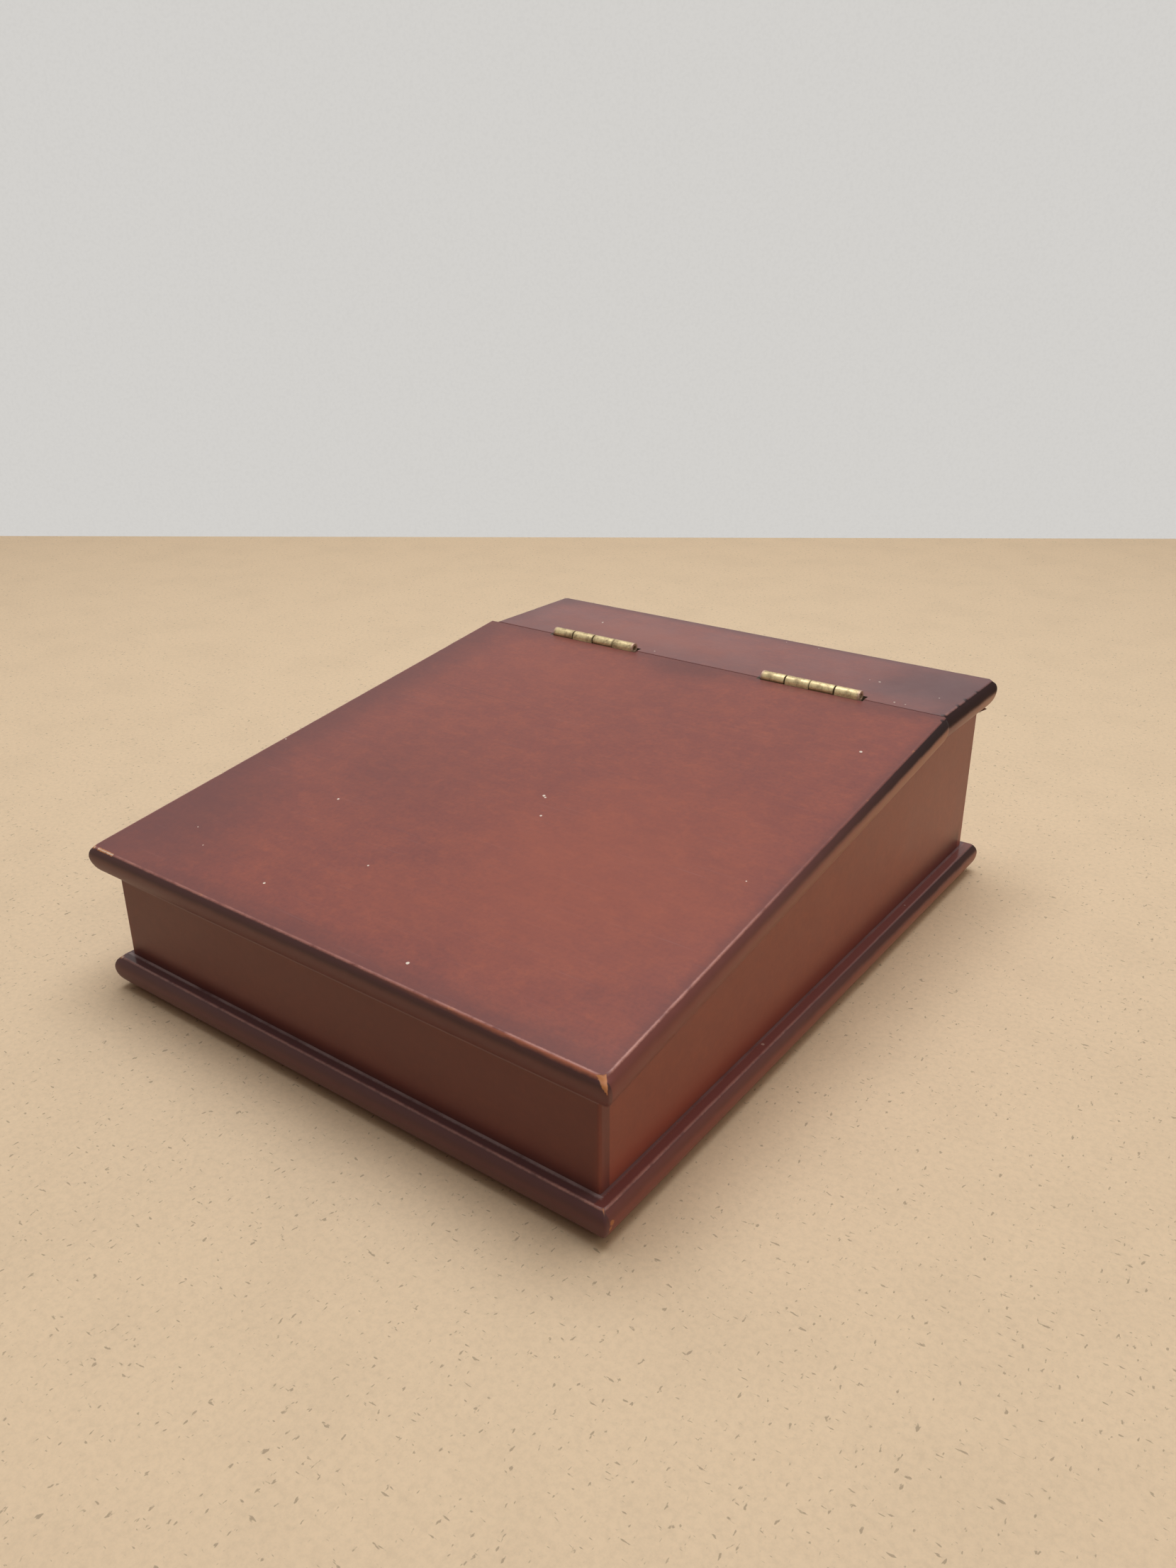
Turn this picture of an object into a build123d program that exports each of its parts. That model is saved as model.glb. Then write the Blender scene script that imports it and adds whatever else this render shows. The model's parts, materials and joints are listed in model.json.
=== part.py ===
from build123d import *
import os
from math import cos, radians, sin, tan

# Lap desk: a lacquered wooden box with a flat base board, four low walls,
# a fixed flat ledge along the back and a sloping writing lid hinged to it.
# Millimetres. X runs to the right, -Y is the front where the writer sits, +Z is up.
# The origin lies on the table under the middle of the base board's depth
# and the middle of the lid's width.

# Case
body_width = 241.0
body_depth = 300.5
wall_thickness = 10.0
corner_rounding = 1.2
rebate_depth = 5.0

# Boards
base_thickness = 13.4
top_thickness = 14.2
baize_thickness = 1.0
baize_inset = 7.0
baize_corner = 4.0

# How far each board's upper arris stands out past the walls
base_overhang_front = 4.5
base_overhang_back = 3.5
base_overhang_left = 2.3
base_overhang_right = 4.7
lid_overhang_front = 4.3
lid_overhang_left = 8.2
lid_overhang_right = 4.8
ledge_overhang_back = 3.5
ledge_overhang_left = 3.8
ledge_overhang_right = 4.0

# Rounded board edge: it bulges past the arris, then turns under
nose_projection = 2.3
nose_depth = 5.0
nose_undercut = 6.5

# Ledge and lid
ledge_top_height = 99.2
ledge_depth = 59.8
lid_slope = 8.1
lid_step = 0.2
seam_gap = 0.3
lid_seat_gap = 0.15

# Butt hinges
hinge_spacing = 122.2
barrel_length = 49.5
pin_radius = 1.35
pin_clearance = 0.05
pin_recess = 1.8
pin_end_chamfer = 0.3
leaf_thickness = 1.2
leaf_height = 9.8
barrel_rise = 0.6
swing_clearance = 0.35
mortise_clearance = 0.1
mortise_left_gap = 0.4
mortise_right_gap = 2.0
knuckle_rounding = 0.2
knuckle_gaps = {"left": (0.6, 0.6, 0.2), "right": (0.7, 0.2, 0.7)}

# Hinge screws, three in each leaf
leaf_screw_radius = 1.2
leaf_screw_head_radius = 2.2
leaf_screw_length = 13.0
leaf_screw_pitch = 17.5

# Base screws, driven up into the walls
base_screw_radius = 1.75
base_screw_head_radius = 3.5
base_screw_length = 30.0
base_screw_margin = 38.0

# Dowels between walls and ledge
dowel_radius = 3.0
dowel_length = 16.0
dowel_margin = 30.0
dowel_end_chamfer = 0.5

# Brads through the case corners
brad_radius = 0.7
brad_length = 18.0
brad_cover = 1.0
brad_edge_distance = 9.0
brad_end_chamfer = 0.2

# Fits shared by every fastener
hole_clearance = 0.05
hole_end_gap = 0.5
head_sink = 0.1
countersink_angle = 90.0
slot_width = 0.6
slot_share = 0.45
tip_share = 0.25

# Places worked out from the sizes
base_bottom = baize_thickness
base_top = base_bottom + base_thickness
base_half_depth = (body_depth + base_overhang_front + base_overhang_back) / 2
body_front = -base_half_depth + base_overhang_front
body_back = body_front + body_depth
body_left = -(body_width + lid_overhang_left + lid_overhang_right) / 2 + lid_overhang_left
body_right = body_left + body_width
body_centre_x = (body_left + body_right) / 2

ledge_back = body_back + ledge_overhang_back
ledge_front = ledge_back - ledge_depth
ledge_underside = ledge_top_height - top_thickness
lid_front = body_front - lid_overhang_front
lid_back = ledge_front - seam_gap
lid_back_top = ledge_top_height - lid_step
lid_drop = top_thickness / cos(radians(lid_slope))

barrel_radius = pin_radius + pin_clearance + leaf_thickness
bore_radius = pin_radius + pin_clearance
swing_radius = barrel_radius + swing_clearance
# The lid's leaf runs off its barrel at a tangent and lies flush with the lid's back edge
hinge_y = lid_back - leaf_thickness + barrel_radius
hinge_z = ledge_top_height + barrel_rise
hinge_centres = {
    "left": body_centre_x - hinge_spacing / 2,
    "right": body_centre_x + hinge_spacing / 2,
}
leaf_top = hinge_z - swing_radius
leaf_bottom = leaf_top - leaf_height
leaf_screw_z = (leaf_top + leaf_bottom) / 2

reach = 2 * (body_depth + body_width)


def lid_top_at(y):
    """Height of the lid's upper face at a distance y from the origin."""
    return lid_back_top - (lid_back - y) * tan(radians(lid_slope))


def wall_top_at(y):
    """Height of a wall's top under the closed lid."""
    return lid_top_at(y) - lid_drop - lid_seat_gap


def board_section(low, high, thickness, round_low=True, round_high=True):
    """Section of a board whose upper face is the line from low to high, rounded at its ends."""
    lower_height = thickness - nose_depth
    with BuildSketch() as section:
        with BuildLine():
            Line((low, 0), (high, 0))
            if round_high:
                widest = high + nose_projection
                TangentArc((widest, -nose_depth), (high, 0), tangent=(0, 1))
                EllipticalCenterArc((widest - nose_undercut, -nose_depth), nose_undercut, lower_height,
                                    start_angle=270, arc_size=90)
                under_high = widest - nose_undercut
            else:
                Line((high, 0), (high, -thickness))
                under_high = high
            if round_low:
                widest = low - nose_projection
                TangentArc((widest, -nose_depth), (low, 0), tangent=(0, 1))
                EllipticalCenterArc((widest + nose_undercut, -nose_depth), nose_undercut, lower_height,
                                    start_angle=180, arc_size=90)
                under_low = widest + nose_undercut
            else:
                Line((low, 0), (low, -thickness))
                under_low = low
            Line((under_low, -thickness), (under_high, -thickness))
        make_face()
    return section.sketch


def flat_board_planes(top):
    """Two upright planes through a level board's upper face: one across it, one along its depth."""
    across = Plane(origin=(0, 0, top), x_dir=(1, 0, 0), z_dir=(0, -1, 0))
    along = Plane(origin=(0, 0, top), x_dir=(0, 1, 0), z_dir=(1, 0, 0))
    return across, along


def screw(radius, head_radius, length):
    """Slotted countersunk wood screw: its head's face at the origin, its shank along -Z."""
    head_depth = head_radius - radius
    slot_depth = head_depth * slot_share
    tip_length = length * tip_share
    with BuildPart() as body:
        with BuildSketch(Plane.XZ):
            with BuildLine():
                Polyline((0, 0), (head_radius, 0), (radius, -head_depth), (radius, tip_length - length),
                         (0, -length), (0, 0))
            make_face()
        revolve(axis=Axis.Z)
        with BuildSketch(Plane.XY):
            Rectangle(2 * head_radius, slot_width)
        extrude(amount=-slot_depth, mode=Mode.SUBTRACT)
    return body.part


def rod(radius, length, end_chamfer):
    """Round rod with chamfered ends, centred on the origin along Z."""
    with BuildPart() as body:
        Cylinder(radius, length)
        chamfer(body.edges().filter_by(GeomType.CIRCLE), end_chamfer)
    return body.part


def finish_part(builder, name):
    """Label a finished piece and write it to its own file."""
    builder.part.label = name
    export_step(builder.part, f"parts/{name}.step")


os.makedirs("parts", exist_ok=True)

# Fastener places, used for the holes and for the fasteners in them
front_line = body_front + wall_thickness / 2
back_line = body_back - wall_thickness / 2
left_line = body_left + wall_thickness / 2
right_line = body_right - wall_thickness / 2

wall_run_x = [body_left + base_screw_margin, body_centre_x, body_right - base_screw_margin]
wall_run_y = [body_front + base_screw_margin, body_back - base_screw_margin]
front_screw_points = [(x, front_line) for x in wall_run_x]
back_screw_points = [(x, back_line) for x in wall_run_x]
left_screw_points = [(left_line, y) for y in wall_run_y]
right_screw_points = [(right_line, y) for y in wall_run_y]
base_screw_points = front_screw_points + back_screw_points + left_screw_points + right_screw_points
pilot_depth = base_screw_length - base_thickness + head_sink + hole_end_gap

back_dowel_points = [(body_left + dowel_margin, back_line), (body_right - dowel_margin, back_line)]
side_dowel_y = (ledge_front + body_back - wall_thickness) / 2
left_dowel_points = [(left_line, side_dowel_y)]
right_dowel_points = [(right_line, side_dowel_y)]
dowel_points = back_dowel_points + left_dowel_points + right_dowel_points
dowel_hole_radius = dowel_radius + hole_clearance
dowel_hole_depth = dowel_length / 2 + hole_end_gap

brad_hole_radius = brad_radius + hole_clearance
front_brad_heights = [base_top + brad_edge_distance, wall_top_at(body_front) - brad_edge_distance]
back_brad_heights = [
    base_top + brad_edge_distance,
    (base_top + ledge_underside) / 2,
    ledge_underside - brad_edge_distance,
]
rebate_front = body_front + wall_thickness - rebate_depth
rebate_back = body_back - wall_thickness + rebate_depth
brad_lip_depth = wall_thickness - rebate_depth - brad_cover
brad_reach = brad_length - brad_lip_depth + hole_end_gap


def drill_up(points, height, radius, depth):
    """Blind holes that run up from a level face at the given height."""
    with Locations(*[Plane((x, y, height), z_dir=(0, 0, -1)).location for x, y in points]):
        Hole(radius, depth)


def drill_down(points, height, radius, depth):
    """Blind holes that run down from a level face at the given height."""
    with Locations(*[Location((x, y, height)) for x, y in points]):
        Hole(radius, depth)


def drill_along_y(points, y, direction, radius, depth):
    """Blind holes from an upright face at y, running towards +Y (1) or -Y (-1)."""
    with Locations(*[Plane((x, y, z), z_dir=(0, -direction, 0)).location for x, z in points]):
        Hole(radius, depth)


# Base board, rounded on all four edges, with countersunk holes for the base screws
base_across, base_along = flat_board_planes(base_top)
base_left = body_left - base_overhang_left
base_right = body_right + base_overhang_right
base_section = board_section(base_left, base_right, base_thickness)
with BuildPart() as base_board:
    with BuildSketch(base_across):
        add(base_section)
    extrude(amount=reach, both=True)
    with BuildSketch(base_along):
        add(board_section(-base_half_depth, base_half_depth, base_thickness))
    extrude(amount=reach, both=True, mode=Mode.INTERSECT)
    with Locations(*[Plane((x, y, base_bottom), z_dir=(0, 0, -1)).location for x, y in base_screw_points]):
        CounterSinkHole(
            base_screw_radius + hole_clearance,
            base_screw_head_radius + hole_clearance + head_sink,
            counter_sink_angle=countersink_angle,
        )
finish_part(base_board, "base_board")

# Baize glued to the flat of the underside
baize_left = base_left + baize_inset
baize_right = base_right - baize_inset
with BuildPart() as underside_baize:
    with BuildSketch():
        with Locations(((baize_left + baize_right) / 2, 0)):
            RectangleRounded(baize_right - baize_left, 2 * (base_half_depth - baize_inset), baize_corner)
    extrude(amount=baize_thickness)
finish_part(underside_baize, "underside_baize")

# Front wall: its top follows the lid's slope, and its ends are rebated for the side walls
wall_lines_x = [left_line, right_line]
with BuildPart() as front_wall:
    with BuildSketch(Plane.YZ.offset(body_left)):
        with BuildLine():
            inner = body_front + wall_thickness
            Polyline((body_front, base_top), (inner, base_top), (inner, wall_top_at(inner)),
                     (body_front, wall_top_at(body_front)), (body_front, base_top))
        make_face()
    extrude(amount=body_width)
    outer_corners = front_wall.edges().filter_by(Axis.Z).group_by(Axis.Y)[0]
    fillet(outer_corners, corner_rounding)
    with BuildSketch(Plane.XY.offset(base_top)):
        for line_x in wall_lines_x:
            with Locations((line_x, rebate_front + rebate_depth / 2)):
                Rectangle(wall_thickness, rebate_depth)
    extrude(amount=ledge_top_height, mode=Mode.SUBTRACT)
    drill_up(front_screw_points, base_top, base_screw_radius + hole_clearance, pilot_depth)
    front_brad_points = [(x, z) for x in wall_lines_x for z in front_brad_heights]
    drill_along_y(front_brad_points, rebate_front, -1, brad_hole_radius, brad_lip_depth)
finish_part(front_wall, "front_wall")

# Back wall: level top under the ledge, ends rebated like the front wall's
with BuildPart() as back_wall:
    with BuildSketch(Plane.XY.offset(base_top)):
        with Locations((body_centre_x, back_line)):
            Rectangle(body_width, wall_thickness)
    extrude(amount=ledge_underside - base_top)
    outer_corners = back_wall.edges().filter_by(Axis.Z).group_by(Axis.Y)[-1]
    fillet(outer_corners, corner_rounding)
    with BuildSketch(Plane.XY.offset(base_top)):
        for line_x in wall_lines_x:
            with Locations((line_x, rebate_back - rebate_depth / 2)):
                Rectangle(wall_thickness, rebate_depth)
    extrude(amount=ledge_top_height, mode=Mode.SUBTRACT)
    drill_up(back_screw_points, base_top, base_screw_radius + hole_clearance, pilot_depth)
    drill_down(back_dowel_points, ledge_underside, dowel_hole_radius, dowel_hole_depth)
    back_brad_points = [(x, z) for x in wall_lines_x for z in back_brad_heights]
    drill_along_y(back_brad_points, rebate_back, 1, brad_hole_radius, brad_lip_depth)
finish_part(back_wall, "back_wall")

# Side walls: the top slopes under the lid and steps up to carry the ledge
side_walls = {
    "left_wall": (body_left, left_line, left_screw_points, left_dowel_points),
    "right_wall": (body_right - wall_thickness, right_line, right_screw_points, right_dowel_points),
}
for name, (inner_x, line_x, screw_points, wall_dowels) in side_walls.items():
    with BuildPart() as side_wall:
        with BuildSketch(Plane.YZ.offset(inner_x)):
            with BuildLine():
                Polyline((rebate_front, base_top), (rebate_back, base_top), (rebate_back, ledge_underside),
                         (ledge_front, ledge_underside), (ledge_front, wall_top_at(ledge_front)),
                         (rebate_front, wall_top_at(rebate_front)), (rebate_front, base_top))
            make_face()
        extrude(amount=wall_thickness)
        drill_up(screw_points, base_top, base_screw_radius + hole_clearance, pilot_depth)
        drill_down(wall_dowels, ledge_underside, dowel_hole_radius, dowel_hole_depth)
        front_points = [(line_x, z) for z in front_brad_heights]
        back_points = [(line_x, z) for z in back_brad_heights]
        drill_along_y(front_points, rebate_front, 1, brad_hole_radius, brad_reach)
        drill_along_y(back_points, rebate_back, -1, brad_hole_radius, brad_reach)
    finish_part(side_wall, name)

# Hinge layout: each knuckle's start and length, left to right, ledge and lid knuckles in turn
knuckle_spans = {}
for side, centre in hinge_centres.items():
    gaps = knuckle_gaps[side]
    knuckle_count = len(gaps) + 1
    knuckle_length = (barrel_length - sum(gaps)) / knuckle_count
    spans = []
    start = centre - barrel_length / 2
    for index in range(knuckle_count):
        spans.append((start, knuckle_length))
        if index < len(gaps):
            start += knuckle_length + gaps[index]
    knuckle_spans[side] = spans

leaf_screw_x = {
    side: [centre + step * leaf_screw_pitch for step in (-1, 0, 1)] for side, centre in hinge_centres.items()
}


def hinge_recess(centre, leaf_low_y):
    """The room one hinge needs in a board's edge: a round recess for its barrel, a shallow one for a leaf."""
    start = centre - barrel_length / 2
    recess_bottom = leaf_bottom - mortise_clearance
    with BuildPart() as recess:
        with BuildSketch(Plane.YZ.offset(start - mortise_left_gap)):
            with Locations((hinge_y, hinge_z)):
                Circle(swing_radius)
        extrude(amount=barrel_length + mortise_left_gap + mortise_right_gap)
        with BuildSketch(Plane.YZ.offset(start - mortise_clearance)):
            with Locations((leaf_low_y + leaf_thickness / 2, (hinge_z + recess_bottom) / 2)):
                Rectangle(leaf_thickness, hinge_z - recess_bottom)
        extrude(amount=barrel_length + 2 * mortise_clearance)
    return recess.part


# Rear ledge, rounded at the back and both ends, square at the seam
ledge_across, ledge_along = flat_board_planes(ledge_top_height)
ledge_left = body_left - ledge_overhang_left
ledge_right = body_right + ledge_overhang_right
ledge_section = board_section(ledge_left, ledge_right, top_thickness)
screw_hole_radius = leaf_screw_radius + hole_clearance
screw_hole_depth = leaf_screw_length - leaf_thickness + hole_end_gap
with BuildPart() as rear_ledge:
    with BuildSketch(ledge_across):
        add(ledge_section)
    extrude(amount=reach, both=True)
    with BuildSketch(ledge_along):
        add(board_section(ledge_front, ledge_back, top_thickness, round_low=False))
    extrude(amount=reach, both=True, mode=Mode.INTERSECT)
    for side, centre in hinge_centres.items():
        add(hinge_recess(centre, ledge_front), mode=Mode.SUBTRACT)
        hole_points = [(x, leaf_screw_z) for x in leaf_screw_x[side]]
        drill_along_y(hole_points, ledge_front + leaf_thickness, 1, screw_hole_radius, screw_hole_depth)
    drill_up(dowel_points, ledge_underside, dowel_hole_radius, dowel_hole_depth)
finish_part(rear_ledge, "rear_ledge")

# Writing lid: slopes down to the front, rounded on three edges. It is made past the seam
# by its own thickness and then cut upright there, face to face with the ledge
slope = radians(lid_slope)
lid_origin = (0, lid_back, lid_back_top)
lid_across = Plane(origin=lid_origin, x_dir=(1, 0, 0), z_dir=(0, -cos(slope), -sin(slope)))
lid_along = Plane(origin=lid_origin, x_dir=(0, cos(slope), sin(slope)), z_dir=(1, 0, 0))
lid_length = (lid_back - lid_front) / cos(slope)
lid_left = body_left - lid_overhang_left
lid_right = body_right + lid_overhang_right
lid_section = board_section(lid_left, lid_right, top_thickness)
with BuildPart() as writing_lid:
    with BuildSketch(lid_across):
        add(lid_section)
    extrude(amount=reach, both=True)
    with BuildSketch(lid_along):
        add(board_section(-lid_length, top_thickness, top_thickness, round_high=False))
    extrude(amount=reach, both=True, mode=Mode.INTERSECT)
    split(bisect_by=Plane(origin=lid_origin, z_dir=(0, -1, 0)), keep=Keep.TOP)
    for side, centre in hinge_centres.items():
        add(hinge_recess(centre, lid_back - leaf_thickness), mode=Mode.SUBTRACT)
        hole_points = [(x, leaf_screw_z) for x in leaf_screw_x[side]]
        drill_along_y(hole_points, lid_back - leaf_thickness, -1, screw_hole_radius, screw_hole_depth)
finish_part(writing_lid, "writing_lid")


def knuckle(start, length):
    """One solid length of hinge barrel with rounded ends, before it is bored."""
    with BuildPart() as barrel:
        with BuildSketch(Plane.YZ.offset(start)):
            with Locations((hinge_y, hinge_z)):
                Circle(barrel_radius)
        extrude(amount=length)
        fillet(barrel.edges().filter_by(GeomType.CIRCLE), knuckle_rounding)
    return barrel.part


def hinge_leaf(side, own_knuckles, leaf_low_y, screw_direction):
    """One hinge leaf: a flat plate and its share of the knuckles, bored for the pin."""
    centre = hinge_centres[side]
    spans = [knuckle_spans[side][index] for index in own_knuckles]
    barrels = [knuckle(start, length) for start, length in spans]
    with BuildPart() as leaf:
        with BuildSketch(Plane.YZ.offset(centre - barrel_length / 2)):
            with Locations((leaf_low_y + leaf_thickness / 2, leaf_screw_z)):
                Rectangle(leaf_thickness, leaf_height)
        extrude(amount=barrel_length)
        face_y = leaf_low_y if screw_direction > 0 else leaf_low_y + leaf_thickness
        outward = (0, -screw_direction, 0)
        with Locations(*[Plane((x, face_y, leaf_screw_z), z_dir=outward) for x in leaf_screw_x[side]]):
            CounterSinkHole(
                screw_hole_radius,
                leaf_screw_head_radius + hole_clearance + head_sink,
                depth=leaf_thickness,
                counter_sink_angle=countersink_angle,
            )
        add(barrels)
        for start, length in spans:
            with BuildSketch(Plane.YZ.offset(start)):
                with Locations((leaf_low_y + leaf_thickness / 2, (hinge_z + leaf_top) / 2)):
                    Rectangle(leaf_thickness, hinge_z - leaf_top)
            extrude(amount=length)
        with BuildSketch(Plane.YZ.offset(centre - barrel_length / 2)):
            with Locations((hinge_y, hinge_z)):
                Circle(bore_radius)
        extrude(amount=barrel_length, mode=Mode.SUBTRACT)
    return leaf


# Hinges: a leaf let into the ledge, a leaf let into the lid, a pin, and the screws of each leaf
leaf_screw = screw(leaf_screw_radius, leaf_screw_head_radius, leaf_screw_length)
for side, centre in hinge_centres.items():
    ledge_leaf = hinge_leaf(side, (0, 2), ledge_front, 1)
    finish_part(ledge_leaf, f"hinge_{side}_ledge_leaf")
    lid_leaf = hinge_leaf(side, (1, 3), lid_back - leaf_thickness, -1)
    finish_part(lid_leaf, f"hinge_{side}_lid_leaf")

    pin_length = barrel_length - 2 * pin_recess
    with BuildPart() as hinge_pin:
        with Locations(Plane((centre, hinge_y, hinge_z), z_dir=(1, 0, 0))):
            add(rod(pin_radius, pin_length, pin_end_chamfer))
    finish_part(hinge_pin, f"hinge_{side}_pin")

    leaf_faces = {"ledge": (ledge_front + head_sink, (0, -1, 0)), "lid": (lid_back - head_sink, (0, 1, 0))}
    for board, (face_y, outward) in leaf_faces.items():
        with BuildPart() as leaf_screws:
            with Locations(*[Plane((x, face_y, leaf_screw_z), z_dir=outward) for x in leaf_screw_x[side]]):
                add(leaf_screw)
        finish_part(leaf_screws, f"hinge_{side}_{board}_screws")

# Base screws, heads sunk just below the underside
with BuildPart() as base_screws:
    head_height = base_bottom + head_sink
    with Locations(*[Plane((x, y, head_height), z_dir=(0, 0, -1)) for x, y in base_screw_points]):
        add(screw(base_screw_radius, base_screw_head_radius, base_screw_length))
finish_part(base_screws, "base_screws")

# Dowels, half in the walls and half in the ledge
with BuildPart() as ledge_dowels:
    with Locations(*[(x, y, ledge_underside) for x, y in dowel_points]):
        add(rod(dowel_radius, dowel_length, dowel_end_chamfer))
finish_part(ledge_dowels, "ledge_dowels")

# Brads through the rebated corners, sunk under the lacquer
brad = rod(brad_radius, brad_length, brad_end_chamfer)
front_brad_y = body_front + brad_cover + hole_end_gap / 2 + brad_length / 2
back_brad_y = body_back - brad_cover - hole_end_gap / 2 - brad_length / 2
with BuildPart() as corner_brads:
    with Locations(*[Plane((x, front_brad_y, z), z_dir=(0, 1, 0)) for x, z in front_brad_points]):
        add(brad)
    with Locations(*[Plane((x, back_brad_y, z), z_dir=(0, 1, 0)) for x, z in back_brad_points]):
        add(brad)
finish_part(corner_brads, "corner_brads")

print("lid front arris height", round(lid_top_at(lid_front), 2))
print("hinge axis y, z", round(hinge_y, 3), round(hinge_z, 3))
print("front wall top", round(wall_top_at(body_front), 2), "inside height at the back",
      round(ledge_underside - base_top, 2))
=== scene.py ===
import json
from functools import reduce
from math import asin, cos, pi, radians, sin

import bmesh
import bpy
from bpy.props import FloatProperty, FloatVectorProperty, PointerProperty
from mathutils import Matrix, Vector, noise


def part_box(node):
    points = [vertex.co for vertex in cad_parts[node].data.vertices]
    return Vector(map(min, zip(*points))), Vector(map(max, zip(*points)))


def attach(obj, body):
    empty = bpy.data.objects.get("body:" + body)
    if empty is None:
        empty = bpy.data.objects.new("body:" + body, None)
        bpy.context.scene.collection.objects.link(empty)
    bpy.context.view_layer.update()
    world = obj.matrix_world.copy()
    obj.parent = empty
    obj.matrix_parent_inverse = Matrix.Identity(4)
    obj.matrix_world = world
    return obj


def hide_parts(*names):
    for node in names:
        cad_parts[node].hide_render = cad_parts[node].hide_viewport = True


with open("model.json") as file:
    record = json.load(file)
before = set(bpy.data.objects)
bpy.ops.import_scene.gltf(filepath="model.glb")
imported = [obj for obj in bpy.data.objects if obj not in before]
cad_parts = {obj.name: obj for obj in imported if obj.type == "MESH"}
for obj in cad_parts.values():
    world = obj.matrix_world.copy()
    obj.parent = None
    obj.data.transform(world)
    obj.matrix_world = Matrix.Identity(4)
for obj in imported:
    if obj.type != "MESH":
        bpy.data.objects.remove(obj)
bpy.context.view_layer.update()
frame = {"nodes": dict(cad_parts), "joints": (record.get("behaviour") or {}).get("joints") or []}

bl_info = {
    "name": "Lap desk",
    "version": (1, 0, 0),
    "blender": (4, 5, 0),
    "location": "View3D > Sidebar > Lap desk",
    "description": "Builds the finished look of a lacquered wooden lap desk around its construction model",
    "category": "Object",
}

MM = 0.001
TO_MM = 1000.0

# The hinge's own axis, from the joint that the lid turns on
HINGE = Vector(frame["joints"][0]["pos_m"])
SIDES = ("left", "right")


# Sizes and colours that a user would change

def a_length(name, description, default):
    """A size, shown in the scene's unit of length."""
    return FloatProperty(name=name, description=description, default=default, unit="LENGTH")


def an_angle(name, description, degrees):
    """An angle, given in degrees."""
    return FloatProperty(name=name, description=description, default=radians(degrees), subtype="ANGLE")


def a_colour(name, description, default):
    """A colour as linear red, green and blue."""
    return FloatVectorProperty(name=name, description=description, default=default, subtype="COLOR", size=3)


class LapDeskSizes(bpy.types.PropertyGroup):
    """Sizes of the boards' edges, the walls and the hinges."""
    nose_projection: a_length(
        "Nose projection", "How far a board's rounded edge stands out past its upper arris", 2.3 * MM)
    nose_depth: a_length(
        "Nose depth", "Depth below the upper face at which the rounded edge is widest", 5.0 * MM)
    nose_undercut: a_length(
        "Nose undercut", "How far the rounded edge turns back in under the board", 6.5 * MM)
    lid_slope: an_angle("Lid slope", "How far the closed lid slopes down to the front", 8.1)
    lid_thickness: a_length("Lid thickness", "Thickness of the writing lid", 14.2 * MM)
    arris_rounding: a_length("Arris rounding", "Radius that sanding left on a board's upper arris", 0.35 * MM)
    mitre_rounding: a_length(
        "Mitre rounding", "How far the corners of a rounded edge are rubbed round", 0.8 * MM)
    arris_step: a_length("Arris step", "Distance between two points along a board's edge", 1.6 * MM)
    wall_thickness: a_length("Wall thickness", "Thickness of the four walls", 10.0 * MM)
    barrel_radius: a_length("Barrel radius", "Outer radius of a hinge's knuckles", 2.6 * MM)
    brass_easing: a_length(
        "Brass easing", "How far the sharp edges of a hinge leaf are worn round", 0.15 * MM)
    swing_clearance: a_length("Swing clearance", "Room round a hinge's barrel in its recess", 0.35 * MM)
    leaf_thickness: a_length("Leaf thickness", "Thickness of a hinge's leaf", 1.2 * MM)


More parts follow.
